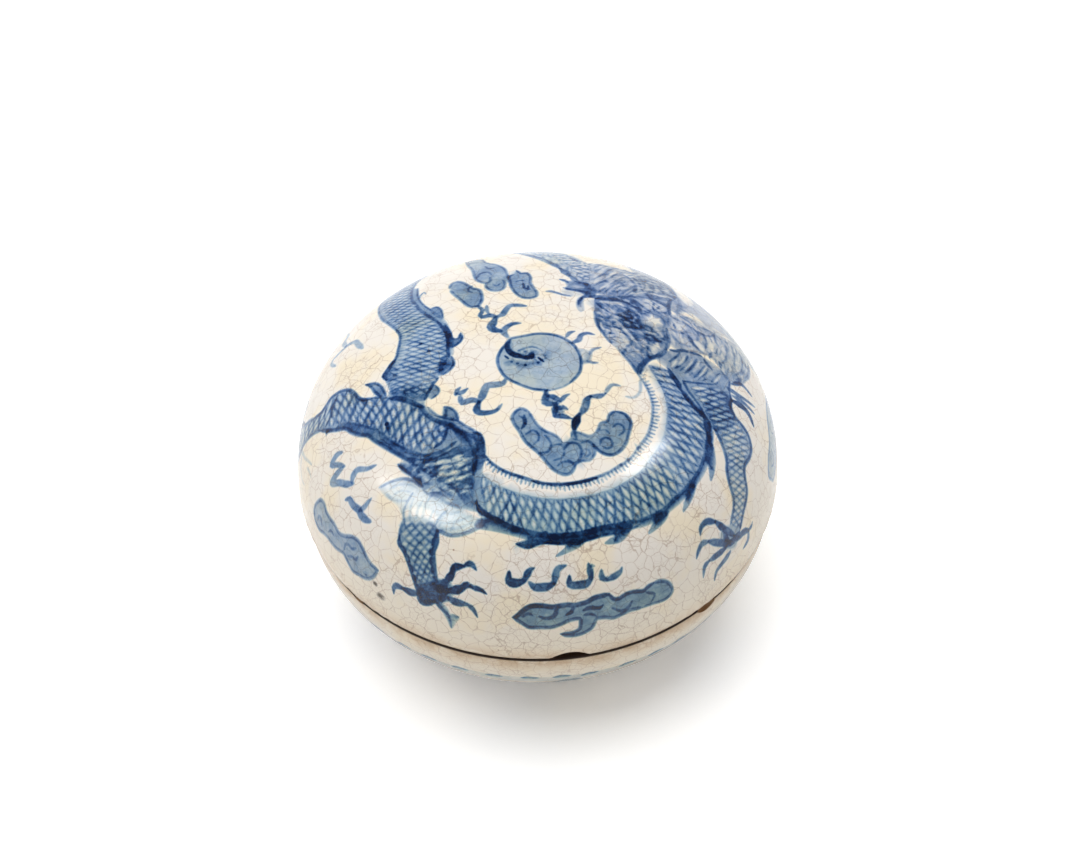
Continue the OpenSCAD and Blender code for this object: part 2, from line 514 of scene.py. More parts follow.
pearl = """
wash .345: -3.9,5.7 -2,6.2 1,6.7 4,6 6.3,4 7.4,1.2 7.3,-1.5 6,-3.9 4.2,-5.3 2.3,-5.9 -.5,-5.5 -3,-4.2
    -4.8,-2.8 -5.8,-.8 -6.1,1.3 -5.5,3.2 -4.6,4.6
line .55 .66: 5.5,-4.4 6.6,-3 @23-9
line .4 .35: 2.3,-5.9 4.2,-5.3 5.5,-4.4
wash .3: -4.2,5.4 -3.6,4.4 -3.4,3 -2.2,2.4 -1,2.4 -.2,2 -.6,1 -2,1 -3.6,1.6 -4.6,2.8 -4.8,4.4
line .8-1.3 .92: -4,5.4 -4.5,4.3 -4.2,2.9 -3.2,2 -1.8,1.5
line 1.2-1.4 .94: -2.2,1.6 -1.3,1.35 -.5,1.6
dot .55 .92: -.55,2 -.55,1.5
line .5-.4 .75: -4.9,1.9 -4.3,1.2
line .5-.3 .42: -2.6,3 -1.5,3.5 -.4,3.7 .6,3.3 1.2,2.7
dot .3 .5: -1.6,2.7 -2.6,2.9 1.6,1.7 1.7,1.1
dot .32 .78: -3.8,.5 -2.9,.1 .5,.2
dot .34 .95: -1.6,-.3
line .7-.4 .95: .5,1.3 1,.8 1.4,.3
"""

pearlFlames = """
line 1.09-0.47 0.58: 5.2,5.9 5.7,6.8 6.6,7.2
line 1.25-0.47 0.58: 6.2,4.6 7.2,5.2 7.6,6.3 8.6,6.8 9.8,6.5
wash .5: 7.3,3 8.3,2.9 9.2,2.2 9.1,1 8.7,.1 7.6,-.2 7.9,1.3
line 0.78-0.4 0.53: 8.9,2 9.4,3 10.8,3.6 / 8.4,.4 9.3,.1 10.2,.1
line 1.4-0.62 0.63: -4.4,6.2 -5,7.2 -4.8,8.2 -3.6,9.2 -2.2,9.3
line 1.56-1.4 0.76: -5.4,7.6 -6.6,8 -7.1,8.8 -6.6,10 -6.3,11
line 1.25-0.78 0.63: -6.2,11.2 -5.2,11.6 -4.6,12.8 -3.9,13.8 -2.5,13.8 -1.2,13.5
line 1.09-0.62 0.6: -6,11 -7.2,11.6 -8.5,11.3 -8.9,11.8 -8.5,13 -9.2,14.2 -9.8,14.4
line 0.94-0.47 0.53: -7.8,14.2 -7.7,12.6 -7.2,11.8
line 1.25-1.4 0.58: -4.9,-3.3 -5.3,-4.1 -6.5,-4.3 -7.8,-4.4 -8.3,-5.4 -8.7,-6.6 -9.3,-7.9
line 1.56-0.47 0.68: -9.2,-7.8 -9.6,-9.2 -9.1,-9.9 -7.6,-10 -6.4,-9.6 -5.5,-8.4
line 1.4-0.78 0.63: -9.2,-7.6 -10.5,-7.2 -11.9,-7.6 -12.2,-6.7 -12.4,-5.8
line 1.25-0.62 0.63: -13,-5.8 -12.7,-4.9 -12.2,-4.3 / -12.7,-5.6 -11.9,-5.4 -11,-4.7
line 1.25 0.7: 1.6,-6 1.6,-7 1.4,-8.4 2.4,-8.7 3.3,-8.6
line 1.25-0.62 0.68: 1.7,-7 2.7,-7.2 3.9,-8 4.6,-7.2 5.4,-6.7
line 1.09-1.4 0.7: 3.2,-8.6 3,-9.8 2.9,-11.1
line 1.25-0.78 0.66: 2.9,-11.3 4.2,-11.2 5.6,-11.7 / 3.1,-9.8 4.3,-9.4 5,-9.9
wash .5: 1.4,-6.2 2.2,-7 3.4,-8 4.2,-8 3.6,-9.2 4.4,-9.8 4.6,-11 5.4,-11.6 3,-11.4 2.8,-8.8 1.4,-8.6
line 1.4-2.18 0.97: 6.9,-10.8 6.4,-12 6,-13.5
line 1.25-1.4 0.68: 6.9,-11 7.8,-9.5 8.2,-7.8 8.8,-7.1
line 1.25-0.94 0.58: 8.8,-7.1 10.3,-7 11.2,-6.4
line 0.94-0.47 0.48: 11.2,-6.4 11.9,-5 12.6,-4.5 13.7,-4.7
line 0.54-0.47 0.3: 17,-3 16.9,-5.5 15.8,-6.9 14.5,-6.8
"""

vClouds = """
wash .5: -2.9,-9.6 -3.9,-11 -3.6,-12.5 -2.8,-14 -2,-15.8 -1,-17 .3,-18.3 1.4,-19.9 2.6,-21.3 4.2,-22.1
    5.4,-21.7 6.1,-20.6 7.6,-19.7 9,-18.7 9.2,-17.2 10.4,-18.1 12,-18.3 13.3,-17.5 14.3,-16 14.8,-14.5
    15.2,-12.8 15,-11.5 14.1,-10.2 12.7,-9.9 11.7,-10.8 11.3,-12 10.1,-13.2 9.6,-14.7 8.3,-15 7,-14.4
    5.8,-14.2 5.3,-15.4 4,-16.2 3,-15 1.4,-14.1 .3,-13.2 -.5,-11.6 -1.1,-10.3
line .6 .55: -1.2,-10.2 -2.6,-9.5 @1-10 6.1,-20.4
line .5 .5: -1.2,-10.3 -.6,-11.6 .3,-13.1 1.4,-14.1 3,-15 4,-16.2
line .45 .55: .2,-18.3 1.6,-18 2.2,-16.9 1.8,-15.5 1.2,-14.9
line .4 .45: -1.8,-14.6 -.6,-13.9 .2,-14.6 .2,-15.8 -.6,-16.6
line .4 .4: 2.2,-17 3.6,-16.6 4.3,-17.6 4,-19 2.6,-19.6 / 3.2,-20.6 4,-19.9 5.2,-19.9 6,-20.6 / -2.8,-11
    -2,-11.6 -1.7,-12.8
line .5 .55: 4.3,-17.6 5.2,-16.4 6.6,-16.6 7.1,-17.9 6.8,-19.2 5.9,-20.1 4.9,-19.5
line .5 .5: 7,-16.4 8.2,-16 9.1,-16.9 9.2,-18.3 8.3,-19.5 7.2,-19.6 6.6,-19.9
line .4 .4: 7.6,-17.4 8.2,-17.6 8.4,-18.3 7.9,-18.8 7.5,-18.3
line .6 .6: 12.9,-10 14.3,-10.4 15.2,-11.8 15.1,-13 14.7,-14.5 14.3,-16 13.3,-17.5 12,-18.3 10.7,-18.2
    9.6,-17.4 8.9,-16.4
line .55 .55: 12.6,-9.9 11.7,-10.7 11.4,-11.9 10.3,-12.5 9.9,-13.6 9.3,-14.6 8.3,-15 7,-14.5 5.8,-14.2
    5.5,-15.1
line .45 .45: 10.1,-16.6 10.3,-15.6 11.2,-15.2 12,-15.7 12,-16.7 11.2,-17.2 10.5,-16.8
line .4 .38: 12.2,-13.2 13,-12.4 13.9,-12.8 14,-13.8 13.2,-14.6 / 9.8,-13.8 11,-13.7 11.7,-14.4 /
    5.8,-15.6 7,-15.9 8.3,-15.9
line .6-.8 .75: -2,-10.8 -1.9,-12.6 -2.4,-13.4
line .5 .6: 6.3,-13.4 6.1,-14.4 6.4,-15.6
"""

topClouds = """
wash .5: -14.2,20.8 -13.8,22.2 -12.9,22.7 -12,22.1 -11,20.8 -10.2,19.7 -9,18.8 -8.6,17.2 -8.6,15.7
    -9.2,14.4 -10.2,14.2 -11.2,15 -12.2,16.7 -13.2,18.3 -13.9,20
line .6 .5: @0-13 -14,20
line .5-.3 .6: -10.2,20.4 -10.9,19.8 -10.8,18.8 -10.2,18.4
wash .48: -11.8,33 -11.2,29 -10.4,26.5 -10,24 -9.6,22.3 -8.7,21.2 -8,20.6 -7.9,19.4 -7.1,18.4 -6,18.1
    -5,18.6 -4.6,20.4 -4,20.6 -3.7,19 -2.9,17 -1.8,15.8 -.6,15.6 .4,16 .6,17 0,18.6 -.5,20.2 -.4,21.6
    -1,23.3 -2,23.2 -2.8,24.4 -3.6,22.8 -4.4,23.5 -4.9,25.5 -6.3,27.5 -8,29 -9,32
line .55 .5: @0-5 -7.9,20.8 -7.2,21.4 -7.3,22.6
line .55 .45: @6-10 -4.7,20 -5.1,21.3
line .5 .45: @30-26 -4.2,21.5 / -9.6,22.6 -8.9,24.4 -7.6,24.6 -7,23.4
line .55 .55: @24-13 -3.9,20.6 -4,22.4 -3.2,23
line .5-.4 .75: -1.7,20 -1.5,18.4 -.9,18.1 -.9,19.2
line .4 .45: -3,20.4 -2.2,20.9 -1.4,20.6 / -6.8,20.4 -6.2,19.6 -5.6,20.2 / -8.2,27.4 -7.6,26 -6.6,26.2
"""

leftWisps = """
line 1.24-0.62 0.4: -29.3,10 -30.4,12 -31,13.3 -32.5,13.8 -34,13.4 -36.2,12.4 -36.2,11 -35,9.3
line 1.24-0.62 0.32: -33.2,13.8 -34,16 -33.5,18 -34,20
line 1.24-0.93 0.52: -33.3,-11.4 -34.6,-11.4 -35.9,-12.6 -34.6,-13.2 -33,-14.2
line 1.24 0.52: -33.4,-14.3 -35,-14.8 -36.4,-15.8 -34.5,-16.6 -33.2,-17.4 -31.6,-18
line 1.4-0.62 0.5: -31.9,-17.7 -31.4,-16.6 -30.4,-15.9 -28.6,-16.4 -26.8,-16.3
line 1.08-1.55 0.58: -33.8,-20 -32.9,-20.2 -32.3,-21.5 -31.2,-22.8 -30.9,-23.8 -30,-24.9 -29.2,-25.4
line 1.24-0.62 0.52: -31.2,-22.9 -30,-22.7 -29,-22.1 -28.3,-21.7
"""

leftCloud = """
wash .42: -44.9,-18.5 -43.8,-17 -42,-16.7 -40.4,-17 -39.6,-18.2 -39.5,-19.8 -38.9,-21.3 -38.1,-22.7
    -37.5,-24.5 -36.2,-25.6 -34.5,-26.3 -33.1,-27.4 -32.4,-29 -32,-31 -31.4,-32.4 -30.3,-33.7 -32.5,-34.5
    -34.5,-34.2 -36.2,-33 -37.6,-31.8 -38,-29.8 -38.3,-28.1 -39.8,-26.8 -41,-25.2 -41.8,-23.7 -43,-22.2
    -44.4,-20.8
line 0.75 .48: @0-15
line 0.75 .46: @15-27
line 0.56 .40: -37.7,-27.7 -36.6,-27 -35.8,-27.4 -35.2,-28.3 -34,-28.6 / -37.3,-29 -36,-29.6 -35.2,-30.4
    -34.2,-30 / -43.6,-19.4 -42.6,-19 -42,-19.8 -42.6,-20.8 / -40.8,-23 -39.8,-23.2 -39.4,-24.2
dot .3 .5: -34,-33.6
"""

bottomCloud = """
wash .54: -5.3,-45.6 -4.3,-45.2 -3.3,-44.4 -2,-43.7 0,-43.6 2,-43.9 3.4,-43.7 5,-43.5 6,-43.6 7.3,-43.3
    8.3,-43 9.6,-42.2 11,-41.8 12.3,-41.4 13.2,-42.2 14.3,-42.1 15.4,-41.3 17,-40.7 18.8,-40.4 19.6,-39.6
    20.6,-38.8 22,-38.3 23.3,-38.3 24.5,-38.8 25.2,-39.9 24.6,-41.1 23.4,-41.9 21.5,-42.6 19.5,-43.5
    17.3,-44.1 15.6,-45 14,-45.8 12.3,-45.8 10.6,-46.1 10.3,-47 9.9,-48 8.6,-49 7,-49.6 5.2,-49.7
    3.8,-49.3 6,-49 7.4,-48.2 7.5,-46.9 7.2,-46.1 5.5,-46.4 3.7,-47.2 2,-47.8 -.5,-47.8 -2.4,-47.7
    -3.7,-46.8
line 0.91 .84: @0-13
line 0.78 .81: @13-20
line 0.78-0.52 .56: @20-28
line 0.78 .62: @28-39
line 0.78 .67: @39-50
line 0.91-0.65 .90: 3,-44 2.4,-45.6 .8,-46 -.5,-45.6 / 5.9,-43.8 5.6,-44.8 4.6,-45.4 / 7.8,-44.5 9,-44
    10.8,-44 11.4,-43.4
line 0.65-0.45 .67: 19.6,-40.6 21.4,-40.8 21.2,-42.2 / 17,-42.4 16.5,-43.6 15.3,-44.4 13.2,-43.9 /
    -3.6,-45.6 -2.4,-45 -1.6,-45.4 / 8,-45.4 9.4,-45.2 10.4,-45.6
"""

fourCurls = """
line 1.29-1.84 .85: -5.3,-37.7 -5.4,-39.2 -4.2,-39.6 -2.8,-39.3
line 1.84-0.73 .82: -2.8,-39.3 -2.2,-38.2 -1.6,-37.5 -1,-37.3
line 1.29-1.65 .82: -1.9,-39.6 -1,-40.4 1,-40.4 2.3,-39.9
line 1.65-0.73 .75: 2.3,-39.9 2.6,-38.6 3,-37.5 4.4,-36.9
line 1.1-1.65 .80: 5,-38.6 5.1,-40 6.5,-40.1 8,-39.8 8.8,-38.9
line 1.84-1.1 .82: 8.8,-38.9 8.5,-37.6 8.2,-36.6
line 0.73 .59: 8.3,-36.8 9.2,-36.9
line 1.1-1.47 .78: 10.5,-37.5 10.7,-38.7 11.7,-39
line 1.47-0.73 .76: 11.7,-39 13,-38.3 13.9,-37.5 14.1,-36.8
"""

hindFoot = """
wash .5: -22.6,-26.6 -24,-29 -24.2,-30.4 -23.4,-32 -23,-34 -22.9,-36 -22.9,-38 -22.8,-40.8 -20.8,-41.6
    -18.4,-41 -17,-39.6 -17.4,-38 -18.2,-37.4 -18.6,-36 -18.5,-34 -17.9,-32.6 -17.2,-31 -16.8,-29.8
    -18.4,-27.6
line 0.62 .51: -22.6,-26.8 -23.6,-28.4 -24.2,-30
line 0.86 .77: -23.9,-29.2 -24.2,-30.4 -23.5,-32 -23.1,-34 -22.9,-36 -22.8,-38 -22.8,-40.3
line 1.39-1.08 .73: -17,-30 -17.6,-31.8 -18.3,-33 -18.5,-35 -18.6,-37 -18.2,-38
line 1.24 .82: -22.8,-38.8 -22.8,-40.9 -21.4,-41.4 -19.6,-41.2
line 1.24-1.56 .77: -22.5,-39.4 -24.3,-39 -26,-37.9
line 1.7-0.63 .73: -26,-37.9 -27.2,-37.2 -28.1,-37.5 -28.6,-38.5
line 1.39-1.86 .93: -17.2,-38.3 -15.9,-37.6 -14.9,-36.6
line 1.7-1.24 .89: -15.4,-36.8 -14.8,-36.1 -13,-36.1
line 1.39-0.63 .82: -13,-36.1 -12,-35.8 -11.4,-36.2 -10.9,-37
line 1.39-2.01 .93: -16.9,-39.8 -14.6,-39.8 -13.2,-39.4
line 1.56-1.08 .97: -14.4,-39.6 -12.9,-39.2 -12,-39.8
line 1.24-0.46 .87: -12.3,-39.6 -10.6,-40.3 -9.6,-41.1
line 1.56-1.24 .82: -17.2,-41 -15.5,-42 -13.5,-42.6
line 1.24-0.46 .75: -13.6,-42.5 -12.6,-43.6 -12.1,-45.2
wash .5: -20.2,-41.2 -18.8,-41.4 -17.7,-43 -17.4,-44.6 -15.8,-44.8 -17,-46 -18.3,-47 -18.5,-45.2 -19,-43.4
line 0.86-0.5 .56: -19.8,-41.3 -18.8,-43 -17.9,-44.5 -18.2,-46.8
line 0.75-0.5 .51: -17.9,-44.7 -17,-44.4 -15.9,-44.8
wash .55: -22.6,-38.4 -20.6,-37.8 -18.4,-37.6 -16.4,-38 -15.6,-39.4 -16.4,-41.2 -18.6,-41.8 -21,-41.6
    -22.8,-40.8
dot .75 .9: -17.1,-38.4 -18.2,-40.9 -19.4,-38.6
line 1.7 .97: -19.4,-38.7 -17.8,-39.5 -16.6,-39.9 / -18.3,-40.8 -17.4,-39.8 -17,-38.6
line 0.75 .67: -22.4,-38.2 -21,-39.6 -19.6,-40.2 / -21.8,-41 -20.6,-39.6 -19.8,-38.6
"""

frontLeg = """
wash .4: 29.5,-9.8 31,-12.2 32.2,-15 32.4,-17 33.2,-19 34.5,-21 35,-23 35,-25.5 33.6,-26.6 33,-28 34,-29.4
    36,-29.8 38,-29 38.6,-27 38.2,-25.5 37.9,-23 38,-20.5 37.8,-18.5 36.8,-16.5 36.4,-14.5 37.4,-12.5
    37.8,-10.5 37.2,-8.6 36,-7.3 34,-6 33,-4.3 33.2,-2.5 30,-1 28,-5
line 0.66 0.63: @0-7
line 0.66 0.68: @26-14
line 1.16-0.49 .68: 33.6,1.2 35.8,2.4 38.2,1.2 / 32.4,-.2 34.5,-.7 38.8,-.9
line 1.49-0.66 .86: 33.5,-2.7 36,-3 37.4,-4 38.3,-5.6
line 1.16-0.49 .63: 33.6,-1.6 36,-1.8 38.6,-2.6
line 1.16-1.49 .76: 37,-27 33.5,-26.8 31.2,-26.3
line 1.49-0.66 .73: 31.2,-26.3 29.3,-26.8 28.3,-28 28.4,-29.3
line 1.49-1.32 .76: 36.3,-28.6 33.4,-29.4 30.5,-29.9
line 1.32-0.49 .71: 30.5,-29.9 29.2,-30.6 28.7,-32 28.7,-33.3
line 1.32-1.16 .71: 35.5,-29.8 33.6,-31.6 32,-33
line 1.32-0.49 .68: 32,-33 31.3,-34.3 32,-36.2
line 1.32-0.66 .63: 37.3,-29.9 36.6,-31.5 35.6,-33.3 35.2,-34.5 35.8,-36
line 1.16-1.49 .68: 38.3,-27.5 39.5,-25.6 41.3,-24.4
line 1.32-0.49 .65: 41.3,-24.4 41.9,-23.4 41.8,-22.6
line 1.32-0.66 .63: 41.3,-24.6 42.3,-26 41.7,-28
line 1.32 .68: 33.6,-26.8 34.8,-28.2 36.4,-28.8 / 38.2,-26 37.2,-27.8 35.6,-29.4
"""

loop = dict(
    inner="16.6,-1.7 17.6,-3.6 18.4,-5.6 18.9,-8 18.8,-10.5 18.4,-12.5 17.8,-14.3 16.4,-16.5 14.9,-18.8 "
          "13,-20.3 11,-21.7 8.5,-22.8 6,-23.5 3.5,-23.9 1,-23.7 -1.5,-22.9 -4,-21.9 -6,-20.8 -7.6,-19.4 "
          "-8.4,-18.1",
    belly="18.4,.4 19.6,-2.6 20.6,-5 21.1,-8 21,-10.6 20.6,-12.9 19.8,-15.4 18.4,-17.8 16.7,-20.4 "
          "14.7,-22.2 12.4,-23.8 9.4,-25 6.6,-25.7 3.6,-26.1 .4,-25.9 -2.4,-25.2 -5.2,-24.1 -7.6,-22.6 "
          "-9.2,-20.8 -10,-19.2",
    outer="22,-.2 23,-2.2 24,-4 25.6,-6 27.2,-7.6 28.2,-9.3 28.5,-11.5 28.2,-13.5 27.8,-16 27.2,-18 "
          "26.2,-20 24.8,-22 22.8,-24.4 21,-26.4 18.8,-28 16,-29.3 13,-30.3 10,-31 7,-31.9 4,-32.3 "
          "1,-32.2 -1.5,-31.7 -4,-31 -6,-30 -8,-28.8 -10,-27.6",
)

loopMarks = """
line 0.45-0.6 .47: 16.6,-1.7 17.6,-3.6 18.4,-5.6 18.9,-8 18.8,-10.5 18.4,-12.5 17.8,-14.3 16.4,-16.5
line 0.45-0.6 .52: 16.4,-16.5 14.9,-18.8 13,-20.3 11,-21.7 8.5,-22.8
line 0.65 .85: 9.5,-22.5 7,-23.3 5,-23.7 3,-23.8 1,-23.7 -1,-23.1
line 0.65-0.5 .76: -.6,-23.2 -2.5,-22.5 -4.4,-21.7 -6,-20.8 -7.6,-19.4 -8.4,-18.1
dot .35 .7: 16.3,-16.6
dot .3 .6: 13.4,-20 14.6,-18.9
line 0.7 .59: 24,-4 25.6,-6 27.2,-7.6 28.2,-9.3 28.5,-11.5 28.2,-13.5 27.8,-16 27.2,-18 26.2,-20 24.8,-22
    22.8,-24.4 21,-26.4 18.8,-28 16,-29.3
line 1-0.8 .85: 16,-29.2 13,-30.2 10,-30.9 7,-31.8 4,-32.2 1,-32.2 -1.5,-31.6 -4,-30.9 -6,-29.8 -8,-28.6
    -9.6,-27.6
wash .65: 28.4,-9 29.4,-10.6 29.4,-13 28.8,-16 28,-18.6 26.8,-20.8 25.4,-22.8 23.6,-25 21.6,-27 19.4,-28.8
    16.4,-30.2 16,-29.3 18.8,-28 21,-26.4 22.8,-24.4 24.8,-22 26.2,-20 27.2,-18 27.8,-16 28.2,-13.5
    28.5,-11.5
wash .85: 16.4,-29.2 13.4,-31.2 10,-32.1 7.6,-32.9 4,-33.6 .6,-33.5 -2,-34 -3.9,-33.3 -2.2,-32.8
    -4.6,-31.9 -7.6,-31 -10.4,-30.2 -10,-29 -8,-28.8 -6,-30 -4,-31 -1.5,-31.7 1,-32.2 4,-32.3 7,-31.9
    10,-31 13,-30.3
line 0.5 .76: 16.4,-29.9 13.4,-31.2 10,-32.1 7.6,-32.9 4,-33.5 .6,-33.4 -2,-34 -3.9,-33.3
wash .88: 29.2,-13 29.9,-15.6 29.8,-18 29.2,-19.8 28.7,-17.6 27.9,-16
wash .85: 26.4,-20.8 26,-23.4 24.4,-26.3 24.6,-24 24.8,-22.4
wash .85: 21.6,-26.6 21,-28.6 18.4,-30.9 19.2,-28.8 19,-28
wash .88: 15.6,-29.6 14.9,-31.2 13.4,-32.8 10.9,-33.2 12.4,-31.9 13,-30.6
wash .88: 8.2,-32.2 6.8,-33.8 4.8,-34.8 2.7,-35.5 4.2,-34.2 5,-33
wash .60: -3.9,-33.5 -2,-34.2 -.4,-33.6 .4,-33 -1.4,-32.6
line 1-1.6 .81: 27.6,-7.8 28.3,-9.4 28.5,-11.6
line 1.4-0.5 .66: 28.6,-11 28.6,-13.5 28,-15.5
dot .8 .8: 28.4,-9.8
line 0.7 .90: -10.4,-21.4 -10.6,-23 -10.5,-24.8 -10,-26.5
line 0.9-1.2 .85: -10,-26.4 -9.4,-27.6 -8,-28.6
dot .55 .95: 1,-32 -1.2,-32.6 12.6,-31.2
"""

segA = dict(
    left="-25.4,31 -27,26.4 -27.4,23 -27.2,21 -26.8,19 -26,16.5 -25,14.8 -24,13.2 -23,11.5 -22.4,10 "
         "-22.4,8 -22.7,6 -23,4.5 -23.8,3.2 -24.9,1.2 -24.7,-.4 -24.2,-2 -23.4,-4",
    right="-19.6,31 -20.6,27 -21,24 -21,22 -20.6,19.5 -20,18 -19.3,16.2 -18.2,14.4 -17,12.8 -15.8,11.3 "
          "-15,9.5 -14.4,8 -14.2,6 -14.2,4 -14,2.5 -14.6,1.2 -15.2,0 -16,-2 -16.8,-3 -17.6,-4.7 "
          "-18.2,-6.2",
)

segAMarks = """
wash .42: -25.4,31 -27,26.4 -27.4,23 -27.2,21 -26.8,19 -26,16.5 -25,14.8 -24,13.2 -23,11.5 -22.4,10
    -22.4,8 -22.7,6 -23,4.5 -23.8,3.2 -24.9,1.2 -24.7,-.4 -24.2,-2 -23.4,-4 -22,-4.6 -20,-5.8 -18.2,-6.8
    -17.6,-4.7 -16.8,-3 -16,-2 -15.2,0 -14.6,1.2 -14,2.5 -14.2,4 -14.2,6 -14.4,8 -15,9.5 -15.8,11.3
    -17,12.8 -18.2,14.4 -19.3,16.2 -20,18 -20.6,19.5 -21,22 -21,24 -20.6,27 -19.6,31
line .4-.55 .5: @0-8
line .55 .68: -23.2,11.8 @9-13
line .8-1 .9: -23,4.3 -23.7,3.3 -24.6,1.8 -25,1 -24.6,0
wash .4: -24.8,1 -23.4,2.6 -22.6,1.6 -23,-.4 -24.6,-.2
line .5-.65 .62: -19.6,31 -20.6,27 -21,24 -21,22 -20.6,19.5 -20,18 -19.3,16.2 -18.2,14.4 -17,12.8
    -15.8,11.3
line .6 .78: -16,11.6 -15,9.5 -14.4,8 -14.2,6 -14.2,4 -14,2.5
wash .5: -21,24 -20,24 -19.4,19.4 -18.4,17 -17.2,15.2 -16.2,13.8 -15.1,12.2 -14.2,10.2 -13.6,8 -13.3,5.6
    -13.4,3 -14.2,4 -14.4,8 -15.8,11.3 -18.2,14.4 -20,18 -21,22
line .4 .55: -20,24 -19.6,20 -18.6,17.2 -17.3,15.2
wash .6: -17.4,15.2 -16.4,15.8 -15.6,15 -15.2,13.6 -15,12.2 -16.2,13
line .4 .6: -17.2,15.4 -16.2,15.6 -15.4,14.5 -15.1,12.6
wash .62: -14.8,10.4 -14,9 -13.6,6.9 -12.6,6.6 -12.1,8 -11.6,6.8 -12.2,5.6 -13.2,4.8 -14.2,5
line .45 .6: -14.6,10 -13.9,8.6 -13.5,6.9 -12.6,6.6 -12.1,7.9 / -11.8,7 -12.2,5.8 -13.4,4.7
line .5-.3 .55: -19.4,19.6 -19.2,20.6 -18.7,21.4 -18.3,20.6
wash .6: -15.8,-.6 -15.6,1.2 -15.2,2.8 -13.8,3 -13.2,1 -13.9,-.2 -15.4,-1.4
dot .45 .8: -14.8,1.2 -15.3,.1
line .5 .6: -13.6,2.6 -13.2,1 -13.8,-.2 -15,-1.2
line .6 .8: -15.8,-1.8 -16.6,-2.8 -17.4,-4.4 -18.1,-6
wash .5: -16.6,-3.2 -15.7,-4.2 -15.9,-5.2 -17,-6 -17.7,-5
line .4 .5: -16.4,-3.2 -15.7,-4.2 -15.9,-5.2 -17,-6
wash .5: -21.6,-2.4 -19.6,-2.2 -18.4,-3 -17.6,-5.8 -19.8,-5.8 -21.8,-4.6 -24,-4.1 -24,-2.6
dot .55 .9: -20.2,-3.5 -21.2,-3.5
dot .3 .6: -17.4,4.6 -18,8.4 -21.6,1.8 -18.8,6.6
"""

finBlade = """
wash .55: -28.4,.5 -26.9,.1 -25.6,-.8 -25,-2.2 -24.6,-3.4 -26,-3 -27,-1.4 -27.8,-.2
line .5-.7 .68: -28.4,.5 -27.4,-.4 -26.6,-2 -25.6,-3.2
line .5-.6 .6: -28.2,.4 -26.6,0 -25.6,-1 -25,-2.4 -24.7,-3.4
"""

segB = dict(
    top="-47,3.2 -44,2 -42,1 -40,0 -38,-.3 -36.6,.5 -35.6,1.3 -34,1.6 -32.5,1.3 -31.3,.6 -30.4,-.6 "
        "-29.6,-2 -28.5,-2.8 -27.2,-3 -25.5,-3.4 -24,-4.1 -22.5,-4.6 -20.5,-5.8 -19.2,-6.8 -18.2,-8.2 "
        "-17.3,-9.6 -16,-10.6 -14.8,-11.2 -13.6,-11.8 -12.5,-12.8 -11,-14 -9.6,-15 -8.8,-16.4 -8.4,-18.1",
    lower="-47,-3 -44,-3 -40,-3.6 -38,-4.4 -36,-5.3 -34,-5.8 -32,-6.3 -30,-7.5 -28,-8.8 -26,-10.4 "
          "-24.6,-12 -23,-13.7 -21.2,-15.1 -19,-16 -16.8,-15.9",
    bottom="-47,-3 -44,-3 -40,-3.6 -38,-4.4 -36,-5.6 -34.2,-6.5 -32.3,-7.2 -31,-8.6 -29.5,-9.7 -28,-10.4 "
           "-27,-11.6 -25.6,-13 -24.2,-14.3 -22.5,-15.8 -21,-17 -20,-18 -18.3,-19.3 -17,-20.6 "
           "-15.5,-21.7 -13.6,-24 -10.6,-26.6",
)

